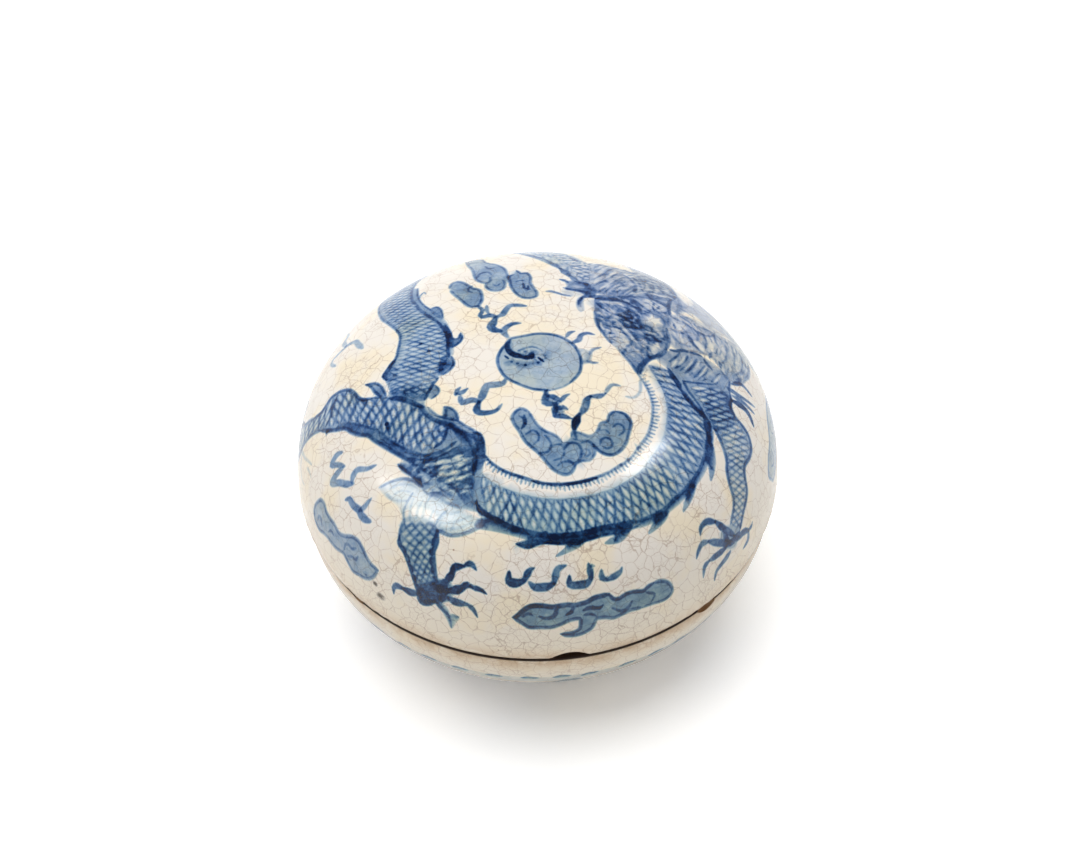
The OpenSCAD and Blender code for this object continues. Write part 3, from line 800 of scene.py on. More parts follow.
segBMarks = """
line 0.45-0.7 .43: -45.8,5 -44,2 -42,1 -40,0
line 0.7 .67: -40,0 -38,-.3 -36.6,.5 -35.6,1.3 -34,1.6 -32.5,1.3 -31.3,.6 -30.4,-.6 -29.6,-2 -28.5,-2.8
    -27.2,-3
line 0.55 .51: -27.2,-3 -25.5,-3.4 -24,-4.1
line 1.1-0.9 .83: -24,-4.2 -22.5,-4.7 -20.5,-5.9 -19,-7 -18.3,-7.4
line 0.8 .64: -19.2,-6.8 -18.2,-8.2 -17.3,-9.6 -16,-10.6 -14.8,-11.2 -13.6,-11.8 -12.5,-12.8 -11,-14
    -9.6,-15 -8.8,-16.4
wash .5: -18.4,-6.6 -17.4,-8.2 -16.2,-9.4 -14.8,-10.2 -13,-10.9 -11.4,-12.3 -10,-13.4 -8.9,-14.8
    -8.5,-16.6 -8.4,-19 -9.4,-20.6 -10.4,-21 -10,-18.6 -10.2,-16 -11.6,-14.6 -13.6,-12.8 -15.4,-11.6
    -17.4,-10.2 -18.8,-8.2
line 0.5 .53: -17.6,-7.6 @2-8 -8.5,-18.6
line 0.5 .51: -10,-14.6 -9.6,-16.6 -9.8,-18.8 -10.4,-20.8
wash .6: -10.4,-14.6 -10.2,-13.6 -9.4,-13.8 -8.7,-14.8 -8.5,-16.4 -8.8,-18.6 -9.6,-17.4 -9.7,-15.6
line 0.6-0.4 .65: -10.2,-13.6 -9.2,-14 -8.6,-15.4 -8.7,-17
wash .6: -14.9,-8 -13.8,-8.4 -12.9,-9.6 -12.6,-11 -14.2,-10.8 -15.2,-10.2
line 0.5 .53: -14.9,-8 -14.6,-9 -14.6,-10.2 / @0-3
line 0.5-0.7 .51: -51,0 -49,-2.2 -47,-3 -44,-3 -40,-3.6 -38,-4.4
line 0.8 .70: -38,-4.4 -36,-5.6 -34.2,-6.5 -32.3,-7.2 -31,-8.6 -29.5,-9.7 -28,-10.4 -27,-11.6 -25.6,-13
    -24.2,-14.3 -22.5,-15.8 -21,-17 -20,-18
wash .5: -34,-5.6 -32,-6.1 -30,-7.4 -28,-8.7 -26,-10.2 -24.6,-11.9 -23,-13.6 -21.2,-15 -19,-16.3 -16.8,-17
    -18,-18.6 -20,-18.2 -22.5,-15.8 -24.2,-14.3 -25.6,-13 -27,-11.6 -28,-10.4 -29.5,-9.7 -31,-8.6
    -32.3,-7.2 -34.2,-6.5
line 0.45 .51: @1-8
dot .45 .9: -24.6,-9.2 -34.2,-6.3 -36.4,-5.6
line 0.7 .60: -24.8,-9 -24.2,-10.4 -24,-11.4
wash .42: -20.6,-16.8 -18.4,-17.4 -16,-17 -14,-16.4 -12.4,-15.4 -13.6,-12.6 -11.6,-14.4 -10.4,-16.4
    -10.1,-19 -10.3,-22 -10.4,-25 -9.6,-27.6 -11.6,-27.2 -14,-26.4 -15.6,-25.2 -17,-24.2 -18.3,-23.6
    -19.2,-22 -19.6,-19.6 -20.4,-18
wash .22: -22.9,-17.4 -20.6,-16.8 -18,-18.6 -15.6,-20.8 -13.6,-23 -12.6,-26.6 -15,-25.8 -17,-24.6
    -18.6,-23 -19.6,-21.4 -21,-19.6
wash .15: -20.8,-17 -19,-17.4 -17.6,-18.4 -16,-20.4 -14.6,-21.8 -12.6,-22.2 -11,-22.4 -10.4,-24.6
    -9.8,-27.4 -12,-26.8 -13,-24.6 -14.6,-23.2 -16.6,-21.6 -18.4,-19.8
line 0.55 .51: -20,-18 -18.6,-19.2 -17,-20.8 -15.4,-22 -13.6,-22.7
line 0.5-0.6 .60: -21.6,-15.4 -20,-16.2 -18,-16.7 -16,-16.6 -14.4,-16 -13,-15
line 0.4 .47: -21,-16.6 -19,-17.4 -16.8,-17.6 -14.8,-17 -12.9,-16.1
line 0.55 .56: -14.4,-12.3 -14.8,-13.6 -15.4,-14.8 -16.6,-15.6
line 0.35 .38: -16.8,-18.2 -14.8,-17.8 -12.8,-17.4 -10.8,-16.8 / -16.9,-19.2 -14.6,-18.9 -12.6,-18.7
    -10.6,-18 / -16.6,-20.3 -14.4,-20 -12.4,-19.9 -10.6,-19.2 / -15.6,-21.3 -13.6,-21.2 -11.8,-21
    -10.5,-20.4 / -18.6,-21.6 -16.8,-22.4 -15.2,-23.6 -14,-24.6 / -17.6,-23.4 -16,-23.8 -14.8,-25
lift .25-.7-.2 .72: -16.4,-18.7 -15.2,-18.4 -14.2,-18.3 / -13.6,-18.1 -12.8,-17.9 -12,-17.7 / -15.9,-19.6
    -15,-19.4 -13.9,-19.4 / -13.2,-19.3 -12.4,-19.2 -11.4,-18.8 / -16.2,-20.8 -15.4,-20.6 -14.6,-20.6 /
    -14.1,-20.7 -13.4,-20.6 -12.6,-20.5 / -12.1,-20.3 -11.5,-20.2 -10.9,-19.9 / -15,-22 -14.4,-21.9
    -13.8,-21.9 / -13.2,-21.8 -12.4,-21.7 -11.6,-21.4
lift .2-.6-.2 .55: -18.6,-20.6 -18,-21.2 -17.4,-21.4 / -17,-23.2 -16.4,-23.1 -15.8,-23.3 / -15.4,-24.6
    -14.9,-25 -14.2,-25.4 / -18.4,-22.9 -17.9,-23 -17.4,-23.2 / -14.2,-23.6 -13.6,-24 -13.2,-24.6
line 0.6-0.8 .67: -13.6,-12.2 -12.4,-13.2 -11.2,-14.8 -10.3,-16.6 -10.1,-19 -10.3,-21.4
wash .6: -22.9,-17.3 -21,-17.6 -19.6,-18.4 -19,-20.6 -19.6,-21.6 -20.6,-20.2 -21.6,-19.4 -22.4,-18.6
line 0.55 .69: -19.7,-18.4 -19.4,-20 -19.1,-21.6
line 0.6-0.5 .73: -22.9,-17.3 -21.8,-18.6 -20.6,-19.8 -20,-20.6
line 0.6 .60: -20.4,-18 -18.6,-19.2 -17,-20.6 -15.6,-21.8
line 0.5 .56: -20.2,-19.4 -19.6,-21 -18.8,-22.2
line 0.4-0.7 .5: -26.6,-20.4 -24.4,-20 -22.2,-20 -20.4,-20.8 -18.9,-22.2
line 0.7-0.4 .17: -25.4,-21.8 -24.4,-22.9 -23,-23.6 -21.4,-24
line 0.7 .55: -17,-29.6 -16,-30.3 -14.6,-30.9 -12.8,-31 -11,-30.6 -9.4,-30
wash .28: -26.4,-20.2 -24,-19.8 -21.6,-20 -19.8,-21 -18.4,-23 -16,-25 -13,-26.6 -11,-28 -9,-29.6
    -10.6,-30.5 -13,-30.9 -15.6,-30.2 -17.4,-30 -19,-27.6 -22.6,-26.4 -23.4,-24.4 -25.4,-22.4
"""

legTop = """
lift 1.6-2.4-1.6 .45: -24,-26.8 -20.6,-26.6 -17,-27.8
lift .8-1.6-.8 .4: -23.6,-26.2 -20.6,-25.9 -17.2,-27
line .5-.4 .4: -22.6,-27.6 -22.6,-25.8 -21.8,-24.2 -20.6,-22.8 / -17.2,-28.8 -16.2,-27.6 -15,-26.8
line .6-.3 .2: -21.6,-27.2 -21.3,-25.4 -20.6,-23.8 / -20.4,-27 -19.9,-25.6 -18.9,-24.4 / -19.4,-27.4
    -18.6,-25.2 -17.3,-23.8 / -18.2,-27.8 -17.3,-26.4
line .3-.6-.3 .17: -16.4,-28.6 -14.6,-28.9 -12.6,-28.7 -11,-28.2 / -15.6,-27.2 -14.2,-27.4 -12.6,-27.3 /
    -16.4,-29.5 -14.6,-29.9 -12.6,-29.8 -10.8,-29.3
line .5-.2 .16: -16.6,-29.2 -15.8,-27.6 / -14.6,-30.2 -13.9,-28.9
line .4-.2 .17: -24.8,-21.2 -23,-20.9 -21.2,-21.3 -19.8,-22.2 / -24,-22.3 -22.6,-22 -21,-22.6
"""

farLeft = """
line 1-.4 .22: -46,-2 -44.8,-4.4 -44,-6 -42.6,-7.8 -41.5,-9.3
line .7-.3 .2: -43.4,-8.6 -42.7,-10 -42.4,-11.4
line .8-.3 .2: -45.4,-4 -46.8,-6 -47,-8.6 -46,-10.6
"""

rightCloud = """
wash .38: 43.5,5 43,0 43.7,-5 43.6,-9 44.6,-12 46.2,-11.6 48,-10.4 48.6,-6 48.4,-1 49,4 47.6,9 45,9.4
line .6 .4: 45,9.4 43.6,5 @1-11
line .45 .35: 44.6,-6 46,-6.6 46.6,-8 45.6,-9.2 / 44.6,2 46,3 47.2,2 / 45,-2 46.4,-1.2 47.4,-2.4
"""

hiddenTail = dict(
    outer="-25.4,30 -24.8,35 -22,40 -17,44.6 -10,47.6 -3,48.4 4,47.6 10,45.4 15,42.6",
    inner="-19.6,30 -19,34.4 -17,38 -13.4,41.2 -8.6,43.4 -3,44.2 3.4,44.2 9.4,42.8 15,41.6",
)

hiddenTailMarks = """
line .5-.7 .6: -25.4,31 -24.6,35.4 -22,40 -17,44.6 -10,47.6 -3,48.4 4,47.6 10,45.4 15,42.6
line .6-.8 .72: -19.6,31 -19,34.4 -17,38 -13.4,41.2 -8.6,43.4 -3,44.2 3.4,44.2 9.4,42.8 15,41.6
wash .62: -19,34 -17.6,33.2 -16.8,34 -17,36.6 -17.8,37 / -15.6,39.6 -14.4,38.4 -13.2,38.8 -12.6,40.8
    -13.2,41.4 / -9.8,43 -8.8,41.6 -7.4,41.8 -6.4,43.2 -6.8,43.8 / -3,44.2 -2.2,42.6 -.8,42.6 .4,43.8
    0,44.3 / 4,44.2 4.6,42.6 6,42.4 7,43.2 6.6,43.6
wash .6: 14,42.8 16.4,43.6 18,45.2 20.6,45.6 23.4,47 21.6,44.4 19.6,43.4 22.4,43.2 25.6,44.2 23,42 20,41.4
    22,39.8 24.8,39.2 21.4,38.4 18.6,39.6 16,41 14,41.4
line .9-.4 .72: 14.4,42.6 17,43.6 19,45 22,46 / 14.6,42.2 18,42.2 21,42.6 24,43.6 / 14.6,41.8 17.6,40.6
    20.4,39.4 23.6,39
"""

rumpTail = dict(
    inner="-44,2 -45.8,5 -46.2,9 -45.4,14 -43.4,20",
    outer="-47,-3 -51,0 -52.4,5 -52,11 -49.8,17 -45.4,22.4",
)

rumpTailMarks = """
line .7 .72: -44,2 -45.8,5 -46.2,9 -45.4,14 -43.4,20
line .7 .72: -47,-3 -51,0 -52.4,5 -52,11 -49.8,17 -45.4,22.4
wash .62: -45.9,6 -44.6,6.6 -43.8,8.4 -45,9.6 -46.2,9.2 / -45.8,12 -44.4,12.4 -43.2,14 -44.2,15.4
    -45.2,15.2
wash .6: -45.8,21.6 -46.6,25 -49,27.6 -50.4,31 -47.4,29 -45.4,27.6 -44.6,30.4 -45.6,34 -42.6,30.8 -42.2,27
    -40.4,29 -38.4,31.4 -38.8,27.6 -41,24 -42.8,20.6
line .9-.4 .72: -45.4,21.6 -46,25 -48,27.6 -49.6,30 / -44.6,21.6 -43.8,25.4 -43.8,29 -44.8,32.6 / -43.6,21
    -41.6,24.4 -39.8,27.4 -38.8,30
"""


waveDash = """
wash .4: -1.5,-.5 -.7,.3 .3,.3 1.5,-.1 1,-.8 -.2,-.9 -.9,-1.1
line .6-.4 .4: -1.4,-.5 -.5,.2 .4,.2 1.5,-.1
"""

tripleFlame = """
line 1-.5 .55: -6,-1.5 -5,.4 -3.4,1.2 -2.2,.4 -1.4,-1.2
line 1-.4 .5: -1.4,-1.2 .2,.6 2,1.6 3.6,.8
line 1.1-.5 .6: -1.4,-1.2 .4,-2.2 2.4,-2 4,-3 6.2,-2.6
"""

head = """
wash .54: 9.9,15 10,12.2 10.1,10 10.5,8.4 11.2,7 12,5.6 13.4,3.8 14.5,1.9 15.3,.8 16.6,-1.7 17.6,-1.2
    18.6,1.2 20,2.4 21.4,3.8 22.2,6 22.2,9 22.6,12 22.8,16 22,17.6 19,18 16,17.5 13,16.6 10.6,16.2
wash .5: 10.2,11.6 11.2,11.2 12.4,10 13.2,9.2 12,8.7 11.5,8.9 11,8.1 10.4,9
lift .35 .7: 10.9,9.4 11,8.6 11.3,7.9
line .5-.6 .58: 10,12.4 10.1,10 10.5,8.4 11.2,7 12,5.6 12.6,4.6
line .4-.7 .47: 12.6,4.6 13.4,3.8 14,2.8 14.5,1.9 15.3,.8 16,-.4 16.6,-1.8
line .5 .47: 10.3,14.6 11.2,13.5 12.2,12.3
dot .35 .35: 11.2,14.5 12.2,10.8 17.3,2.9
dot .4 .55: 12.1,12.2 13.4,13.9 13.1,9.9 14.1,8.2
line .8-.5 .56: 13.4,11.9 13.9,11.7 14.5,11.1
line .35 .43: 11.5,9 12.2,8.7 13.2,8.7 14.1,8.2
clear .42: 12,8.1 13.2,8.3 13.9,7.7 14.7,6.7 15.4,5.5 15.2,4.6 14.5,3.9 13.6,3.4 12.7,4.4 12.1,5.5
    11.6,6.7
line .45 .48: 14.1,8.1 14.8,7.2 15.5,6.2 15.9,5.4 15.7,4.8 15.1,4.2 14.8,3.4 14.3,2.6 14.6,2
line .3 .35: 11.8,6.7 12.4,7.1 13,7 / 12,6 12.7,6 13.2,6.3 / 12.2,5.3 12.8,5.6 13.4,5.4
dot .3 .39: 12.4,7 12.5,4.9
dot .4 .20: 13.1,5 12.8,6.2
line .6-.8 .64: 14.5,9.7 15.3,8.5 16.2,7.2 17,5.9 17.4,5.1
dot .35 .47: 16.5,3.9
line .4 .39: 18.8,6.2 18.6,4.6 18.4,3 18.9,2
wash .55: 13.6,13.4 14.8,14 16,14.5 17.7,14.5 18,13 17.6,12.2 17.6,11 18,10 19.4,9.2 20.2,8.4 21.6,8
    21.8,7 20.6,6 19,6 18,6 17,6.4 16.2,7.4 15.4,8.8 14.6,9.8 14,11
wash .35: 14.8,9.8 14.4,11.4 15,13 16.6,14.6 17.8,14 17.4,12.4 17.2,10.6 17.8,9.6 17,8.6 16.2,8.2
line 1-1.2 .62: 16.7,8.9 17.6,9.4 18.5,9.6 19.4,9.1
dot .75 .47: 18.9,7.5
dot .45 .62: 18.8,7.3 17.2,9
lift .5 .5: 20.2,7.2 21.2,7.6 / 16.4,10.6 16.8,11.6
clear .8: 18.6,12.2 18.9,11.2 18.6,10.6 19.6,10.9 20,9.9 20.5,10.8 21.3,10.8 20.9,11.6 21,12.4 20.2,12.2
    19.6,12.9 19.2,12.2
line .4 .35: 17.7,12.7 18.8,13.1 20.1,13.2 21.3,12.6 21.8,11.2 21.4,10
line 1.5-1.9 .55: 9.6,16.3 11,16.1 13,16.1 15,16.3 16.6,15.8 17.9,14.9
line .5 .69: 10.3,15.6 11.3,15.9 12.4,15.9
line .8 .47: 14.6,15.6 16.4,15 17.6,14.6
dot .5 .66: 18.9,13.7
lift .5 .34: 11.1,15 12.4,15 13.7,14.9 14.9,14.6 15.9,14
lift .4 .36: 12.4,13.4 13.2,12.6 / 11.4,12.8 12,11.4 / 13.2,11 13.9,9.8 15.2,7.9 16.4,5.8 17.2,4.4
clear .5: 18.4,15.4 18.4,17 19.2,17.6 19.9,16.8 19.9,15.2 19.3,14.5
clear .45: 20.3,14.6 20.2,16 21,16.7 22,16.4 22.3,15.2 21.4,14.4
line .8-.6 .69: 20.5,14.8 20.9,15.3 21.1,15.8
line .4 .47: 20.1,14.2 20,15.6 20.3,16.8 / 20.6,14.1 21.6,14 22.3,14.6
line 1 .56: 17.1,-1.7 17,-.4 17.8,.8 18.8,1.9 20,2.6 21,3.6 21.7,4.8
line .8-.6 .53: 21.6,4.6 22.1,6.2 22.2,8 22,10
line .45 .39: 21.4,9.6 21.5,7.6 20.8,6.2
clear .6: 19,3.2 19.4,5 20.2,6 20.5,5.2 20.2,4 19.6,3
wash .6: 5.4,20.4 7,20.7 8.6,20.4 10,19.2 10.6,17.6 10,16.2 8.6,16.4 8,17.1 6.6,17.7 5.3,18 5.6,19.2
lift .9 .3: 6.4,19 7.4,18.9 8.4,18.8
line .9-.7 .66: 4.5,21 5.2,20.7 5.8,20.1
line .6-.7 .56: 5,18.5 5.8,18.1 7,17.8 8.8,17.5
line .7-.35 .56: 2.1,17.4 2.9,17.4 4,16.9 5,16.4 6.2,16.1
wash .22: 4.8,17.9 6.4,17.5 8.2,17.1 8,16.3 6.2,16.1 5,16.7
line .9-1.1 .73: 7.9,15.7 8.6,16.2 9.6,16.1
wash .52: 8.5,16 8.2,15 8.2,13.6 8.2,12.4 7.7,12 7.2,12.9 7,14 7.2,15.2 7.7,16
line .8-.4 .62: 8,15.6 7.5,14.8 7.4,13.9
dot .6 .58: 9,17.2
dot .5 .55: 8.9,19.9
line .8-1.3 .48: -7,39.5 -4.6,36.5 -1.6,32.6 0,30.6 1.6,28.8 3.4,26.6 4.6,25
line 1.7-1.8 .62: 4.7,24.8 5.4,23.6 6,22.4
line 1.2-.9 .53: 6.2,22.3 7,21 7.8,20
line 1-.7 .45: 6.4,30.4 7.4,29 8.6,28.2 9.6,27.4
line .9-.5 .31: 9.4,27.8 11.4,28 13.8,27.8 16.8,27 18.6,25.8
line .6 .39: 11.2,27.2 10.6,25.6 11,24 11.2,22.4
wash .4: -3,36 0,31 2,28.2 4,25.2 5,24 6.6,22 8,20 9.5,17.8 12,16.8 16,17 19,17.8 22.8,18.4 24.6,20.4
    25,24 22,26.8 17,27.4 13,28 11,28.2 9.4,28 8,30 6.6,32 3.6,36
lift .5-.9-.3 .5: 11.2,18.2 12.6,20.2 13.6,22 / 13,17.8 14.2,19.6 15.4,21.4 / 14.8,17.6 16,19.4 16.8,20.8
    / 9.6,20.2 10.8,21.8 12,23.4 / 10.4,22.8 11.4,24.6 12,26.4 / 12.6,22.8 13.6,24.4 14.2,26 / 18.6,19.4
    19.4,21.4 19.4,23.4 / 20.6,19.6 21.2,21.6 21,23.6
lift .4-.8-.3 .35: 15.4,25.6 16.4,24.6 17,23.4 / 22.6,20.4 23.2,22.6 23,24.8 / 16.6,18 17.4,19 17.8,20.4
wash .1: 10.6,18 12.4,17 15,17 18.4,17.8 19.6,20 19,24 17.4,26.6 14,27.4 11.6,27.6 9.6,24 8.6,21
line .55-.4 .43: 10.8,17.6 12.4,19.6 13.6,21.4 15,23.6 / 12.4,16.9 13.4,18.6 14.6,20.6 15.6,22.2 / 14.2,17
    15.6,19 17,21 / 15.6,16.9 17,18.7 17.6,20.6
line .6-.4 .48: 9.9,19.4 11,20.6 12.2,21.6 13.4,23.4 14.4,25.2
dot .45 .58: 12.2,21.4 13.4,18.4 15,21
line .35 .31: 11.6,17.3 13,19.5 14.2,21.4 15.2,22.9 / 13.4,17 14.6,19 16,20.9 / 9.4,20.8 10.6,22.2 12,24
    13.2,26.4 / 15,17 16.4,18.9 17.3,20
line .6 .45: 15.6,25 16.3,24 16.9,22.8 17.3,21.6 17.3,20.4 16.8,19
line .5 .39: 17.2,24.6 18,23 18.3,21 / 18.3,20.6 18.7,19.4 19.5,18.6 19.7,17.6
line .8-.6 .48: 23.5,19.4 23,17.6 22.8,15.6 23,13.6
line .8-.5 .33: 24.7,21.6 23.9,19.6 / 24.6,25.6 24.4,22.6
wash .12: 18,18 22.6,18.4 24.4,20.4 25,24 24,27.4 20.4,29 17,27.2 19,24 19.8,20.6
"""

headField = ("10.4,14.6 10.4,11 11.4,8 13.6,4.6 16.6,.4 18.6,2 21.4,5 21.8,9 17.8,9.6 17.4,12.4 21.9,13 "
             "22.4,16.6 19,17.6 14,16.4")
crestField = "-1,33 3,27.6 8,21 12,17.6 22.6,18.6 24.6,22 22,26.6 14,28.2 9,28.4 4,34.6"
thighField = ("-21.6,-17.6 -18,-17.4 -11,-17.6 -10.6,-22 -10.6,-25.8 -13.4,-24.6 -16.8,-23 -19,-21.4 "
              "-20.8,-19.4")
maneField = ("22.8,12.4 26,14.6 30,13.4 33.6,13.8 36.6,14 38.4,10.6 38,6.6 35.4,2.6 31.8,2.4 29.4,5.8 "
             "24,5.4 22.6,7")

mane = """
wash .38: 17,33 17.6,27 18.8,22 19.2,18.4 21,17 24,15.4 25.6,18 25.2,21 24.6,25 24,30 21,36
wash .34: 24,14.6 26,16.6 28,16.4 29.6,14.4 31.4,13.6 34,14.4 36.6,14.2 38.8,11.4 41,11.6 40.4,17 36,22
    31.4,25.6 28.6,29 27.4,27 28.2,22.6 27.2,19.8 26.2,20.2 25.2,22 24.6,19
line .7-.4 .3: 22.8,14 22.9,16.6 23.4,19.4 / 20.6,20 20.8,22.6 20.6,25.4 / 18.8,20 19.4,23 19.2,26.6 /
    24.4,20.4 24,24 23.2,28 / 22.2,21 22.2,24.6 21.6,28
line 1-.5 .2: 26,15 28.6,14.6 31,12.9 33.6,12.4 / 33,18.6 35.6,16.4 37.6,13.6 / 30.4,23 33,20.4 35,18.4
line .8-.4 .28: 23.6,15.4 25.4,15 27.4,13.6 / 24.4,17.4 26.2,16.6 27.6,15.6
lift .5-.9-.3 .5: 20.2,22.6 21.2,22 22,20.6 / 17.9,23.6 18.3,21.4 18.6,19.4
lift .5 .5: 31,15 34,14.6 37,12.8 38.9,9.6
wash .42: 22.4,12.6 24,14.6 26.8,14.8 30,13.6 33,13.8 36.4,14.4 38.6,11 38.4,8 37.4,5 36,2.6 34,1.6 32,2
    31,4 29.4,5.6 27,5.4 24,5 22.4,6 22.4,9
line .7-.9 .43: 38.8,11 38.4,8 37.6,5.6 36,3.8 34.6,2.8
line .55-.35 .42: 36.8,12 36.8,8.6 35.8,5.6 34.2,3.6 / 34.8,12.6 35,9 34.4,6.4 33,4.4 / 32.8,13 33.2,10
    32.8,7.2 31.8,5.2 / 31,12.6 31.4,9.6 30.8,7.2
line .5-.4 .36: 37.8,9.6 37,7 35.8,4.8 / 35.8,12.4 36,8.8 35,5.8 / 33.8,12.8 34.2,9.4 33.6,6.8 / 32,12.6
    32.2,9.4 31.6,7.4
lift .3-.55-.25 .55: 36,11.6 36,8.8 35,6 / 34,12.4 34.2,9.2 33.5,6.4 / 31.9,12.4 32.4,9.8 31.9,7 /
    30.2,12.2 30.6,9.8 30,7.4 / 25,13.6 27,12.4 28.6,11.8 / 23,11.8 23.2,10 23.4,8.6
line .7-.5 .43: 23.4,13.4 25.4,12.8 27.6,11.4 29.8,11.4 31.2,12.8
line .5 .36: 24.8,14.4 27.4,13.2 30,13.2 / 26.4,13.6 27.8,10.6 27.4,8.8 / 28.6,11.4 29.2,9.4 28.8,7.4 /
    22.8,8.6 24,7 25.4,6.6 26.6,7
line .7-.6 .47: 22.8,10.2 23.8,9.6 25,9.7
line .9-.6 .50: 25.8,9.4 26.4,8 27.2,6.9 28.3,5.9
clear .6: 24,10.4 24.1,11.8 24.9,12 25.4,11 24.8,10.2
line .9-.7 .59: 23.4,11.6 23.5,10.6
clear .6: 26.6,8.6 27.7,8.5 28.3,7.4 28.6,6.4 27.7,6.7 27,7.6
clear .6: 29.3,10.8 30,10.6 30.4,8.8 30.2,7.4 29.5,8.4
line .9-.7 .62: 30.5,7.2 29.8,6.4 29.4,5.3
line .8-.6 .53: 31.2,5.4 31.5,4.7 31.5,3.9
"""

arm = dict(
    left="24.6,-2 26,-4.8 27.4,-6.8 28.4,-8.6 31,-12.2 32.2,-15 32.4,-17 33.2,-19 34.5,-21 35,-25.5",
    right="32.9,-.6 33,-3 33.2,-4.6 34.6,-6.4 37.2,-8.6 37.8,-10.5 37.4,-12.5 36.4,-14.5 36.8,-16.5 "
          "37.8,-18.5 38,-20.5 38.2,-25.5",
)

shoulderMarks = """
wash .5: 22.4,4.6 25,5 28,5 31,3.6 33.2,1.6 33,-.8 33.2,-2.6 33,-4.3 34,-6 33,-9 30,-10.4 28.2,-9.3
    25.6,-6 24,-4 22,-.2 20,2
line .8-.6 .8: 22.3,4.7 23.4,4.7 24.6,5.2 26,5.2 27.9,5.1
line .7-.5 .68: 28.3,4.4 28.9,3.4 29.8,2.5
line .45 .55: 23,.6 24.4,2.2 25.4,4.2 / 24.6,-.2 26,1.8 27,4 / 26.2,-.6 27.4,1 28.4,3 / 27.8,-.8 28.8,.6
    29.8,2.2 / 22,1.8 23.2,3.2 24,4.4 / 29.4,-.4 30.2,.8 31.2,2.4
line .35 .42: 23.8,.2 25.2,2 26.2,4.2 / 25.4,-.4 26.8,1.6 27.8,3.6 / 27,-.8 28.2,.8 29,2.4
lift .3-.6-.2 .55: 23.6,1.4 24.4,2.6 24.9,3.9 / 24.7,.9 25.7,2.5 26.2,3.9 / 26.1,.6 26.9,2 27.4,3.6 /
    27.3,.2 28,1.4 28.6,2.7 / 28.4,0 29.1,1.2 29.9,2.4 / 22.4,.8 23,1.8 23.4,2.8 / 29.9,-.2 30.6,.9 31.2,2
line .9-1 .75: 21.8,.2 22.5,-1.3 23.3,-2.6 23.8,-4
line .7-.9 .78: 23.9,-4.2 25.4,-6.2 26.6,-7.4 27.8,-8.6
line .5 .65: 24.2,-1.8 25,-3.6 26,-5 27,-6.4 27.8,-7.8
line .5-.4 .6: 24.4,-1.9 26.4,-1.7 28.4,-1.2 30,-.7 30.7,.2
line .45 .66: 33.2,1.6 32.8,-.4 33.2,-2.5 33,-4.3
"""


leg = dict(left="-22.6,-27 -24.1,-30.2 -23.3,-33 -22.8,-38", right="-17.6,-28 -17.4,-31 -18.5,-34 -18.5,-38")
crest = dict(left="2.2,33 4,29 6.2,25.4 7.4,21.6", right="6.6,31 8.4,28 10.4,25.6 9.6,21.4")


def band(rail, otherRail):  # the outline round a stretch between two rails
    return np.vstack([readPoints(rail), readPoints(otherRail)[::-1]])


def coverMarks():
    marks = []
    for text in (pearl, pearlFlames, vClouds, topClouds, leftWisps, leftCloud, bottomCloud, fourCurls,
                 farLeft, rightCloud):
        marks += readMarks(text)
    # the upper stretch of the body
    marks += readMarks(segAMarks)
    marks += scaleNet(segA["left"], segA["right"], .58, 5, .34, .38, end=.97, reach=(.16, .98), wave=.34,
                      shine=.36)
    marks += comb(segA["left"], 1, .6, 1.3, .32, .3)
    # the loop
    marks += [("wash", band(loop["belly"], loop["outer"]), 0, .47)]
    marks += scaleNet(loop["belly"], loop["outer"], .76, 4, .4, .41, lean=2.6, end=.98, wave=.32, shine=.52)
    marks += comb(loop["inner"], 1, .68, .95, .4, .44)
    marks += readMarks(loopMarks)
    # thigh and rump
    rump = band(segB["top"], segB["bottom"])
    marks += [("clear", rump, 0, 1), ("wash", rump, 0, .5)]
    upper = segB["top"].split(" -12.5,")[0]
    marks += scaleNet(upper, segB["lower"], .88, 3, .44, .4, lean=-2.6, end=.36, wave=.34, shine=.5)
    marks += scaleNet(upper, segB["lower"], .88, 5, .46, .4, lean=2.4, start=.34, wave=.32, shine=.52)
    marks += readMarks(segBMarks)
    marks += dabs(thighField, .85, 1.2, 20, 0, .5, .3)
    marks += readMarks(finBlade)
    # the parts round the back: the tail, the far end of the body, and clouds and flames between them
    for rails, rows in ((hiddenTail, 5), (rumpTail, 5)):
        edge = band(rails["inner"], rails["outer"])
        marks += [("clear", edge, 0, 1), ("wash", edge, 0, .44)]
        marks += scaleNet(rails["inner"], rails["outer"], .72, rows, .34, .3, start=.02, end=.94, wave=.34,
                          shine=.68)
    marks += readMarks(hiddenTailMarks) + readMarks(rumpTailMarks)
    for text, *place in ((bottomCloud, (1, 3), 111), (fourCurls, (0, 12), 172), (leftCloud, (-1, 2), -73),
                         (tripleFlame, (28, 43), -30, 1.1), (tripleFlame, (-32, 44), 40, 1.1),
                         (tripleFlame, (48.5, 17), -80)):
        marks += readMarks(text, *place)
    # legs
    marks += readMarks(hindFoot)
    marks += scaleNet(leg["left"], leg["right"], .8, 7, .42, .36, shine=.42)
    marks += readMarks(legTop)
    # head, mane and front leg
    marks += readMarks(frontLeg)
    marks += readMarks(shoulderMarks)
    marks += scaleNet(arm["left"], arm["right"], .62, 4, .34, .31, lean=-1, start=.02, shine=.56)
    marks += readMarks(mane)
    marks += dabs(maneField, .95, 1.9, -72, -1.6, .4, .22)
    marks += readMarks(head)
    marks += dabs(headField, .8, 1.25, -38, 0, .42, .3)
    marks += dabs(crestField, .9, 1.7, 118, -5, .42, .26)
    marks += scaleNet(crest["left"], crest["right"], .7, 3, .34, .3, shine=.5)
    return marks


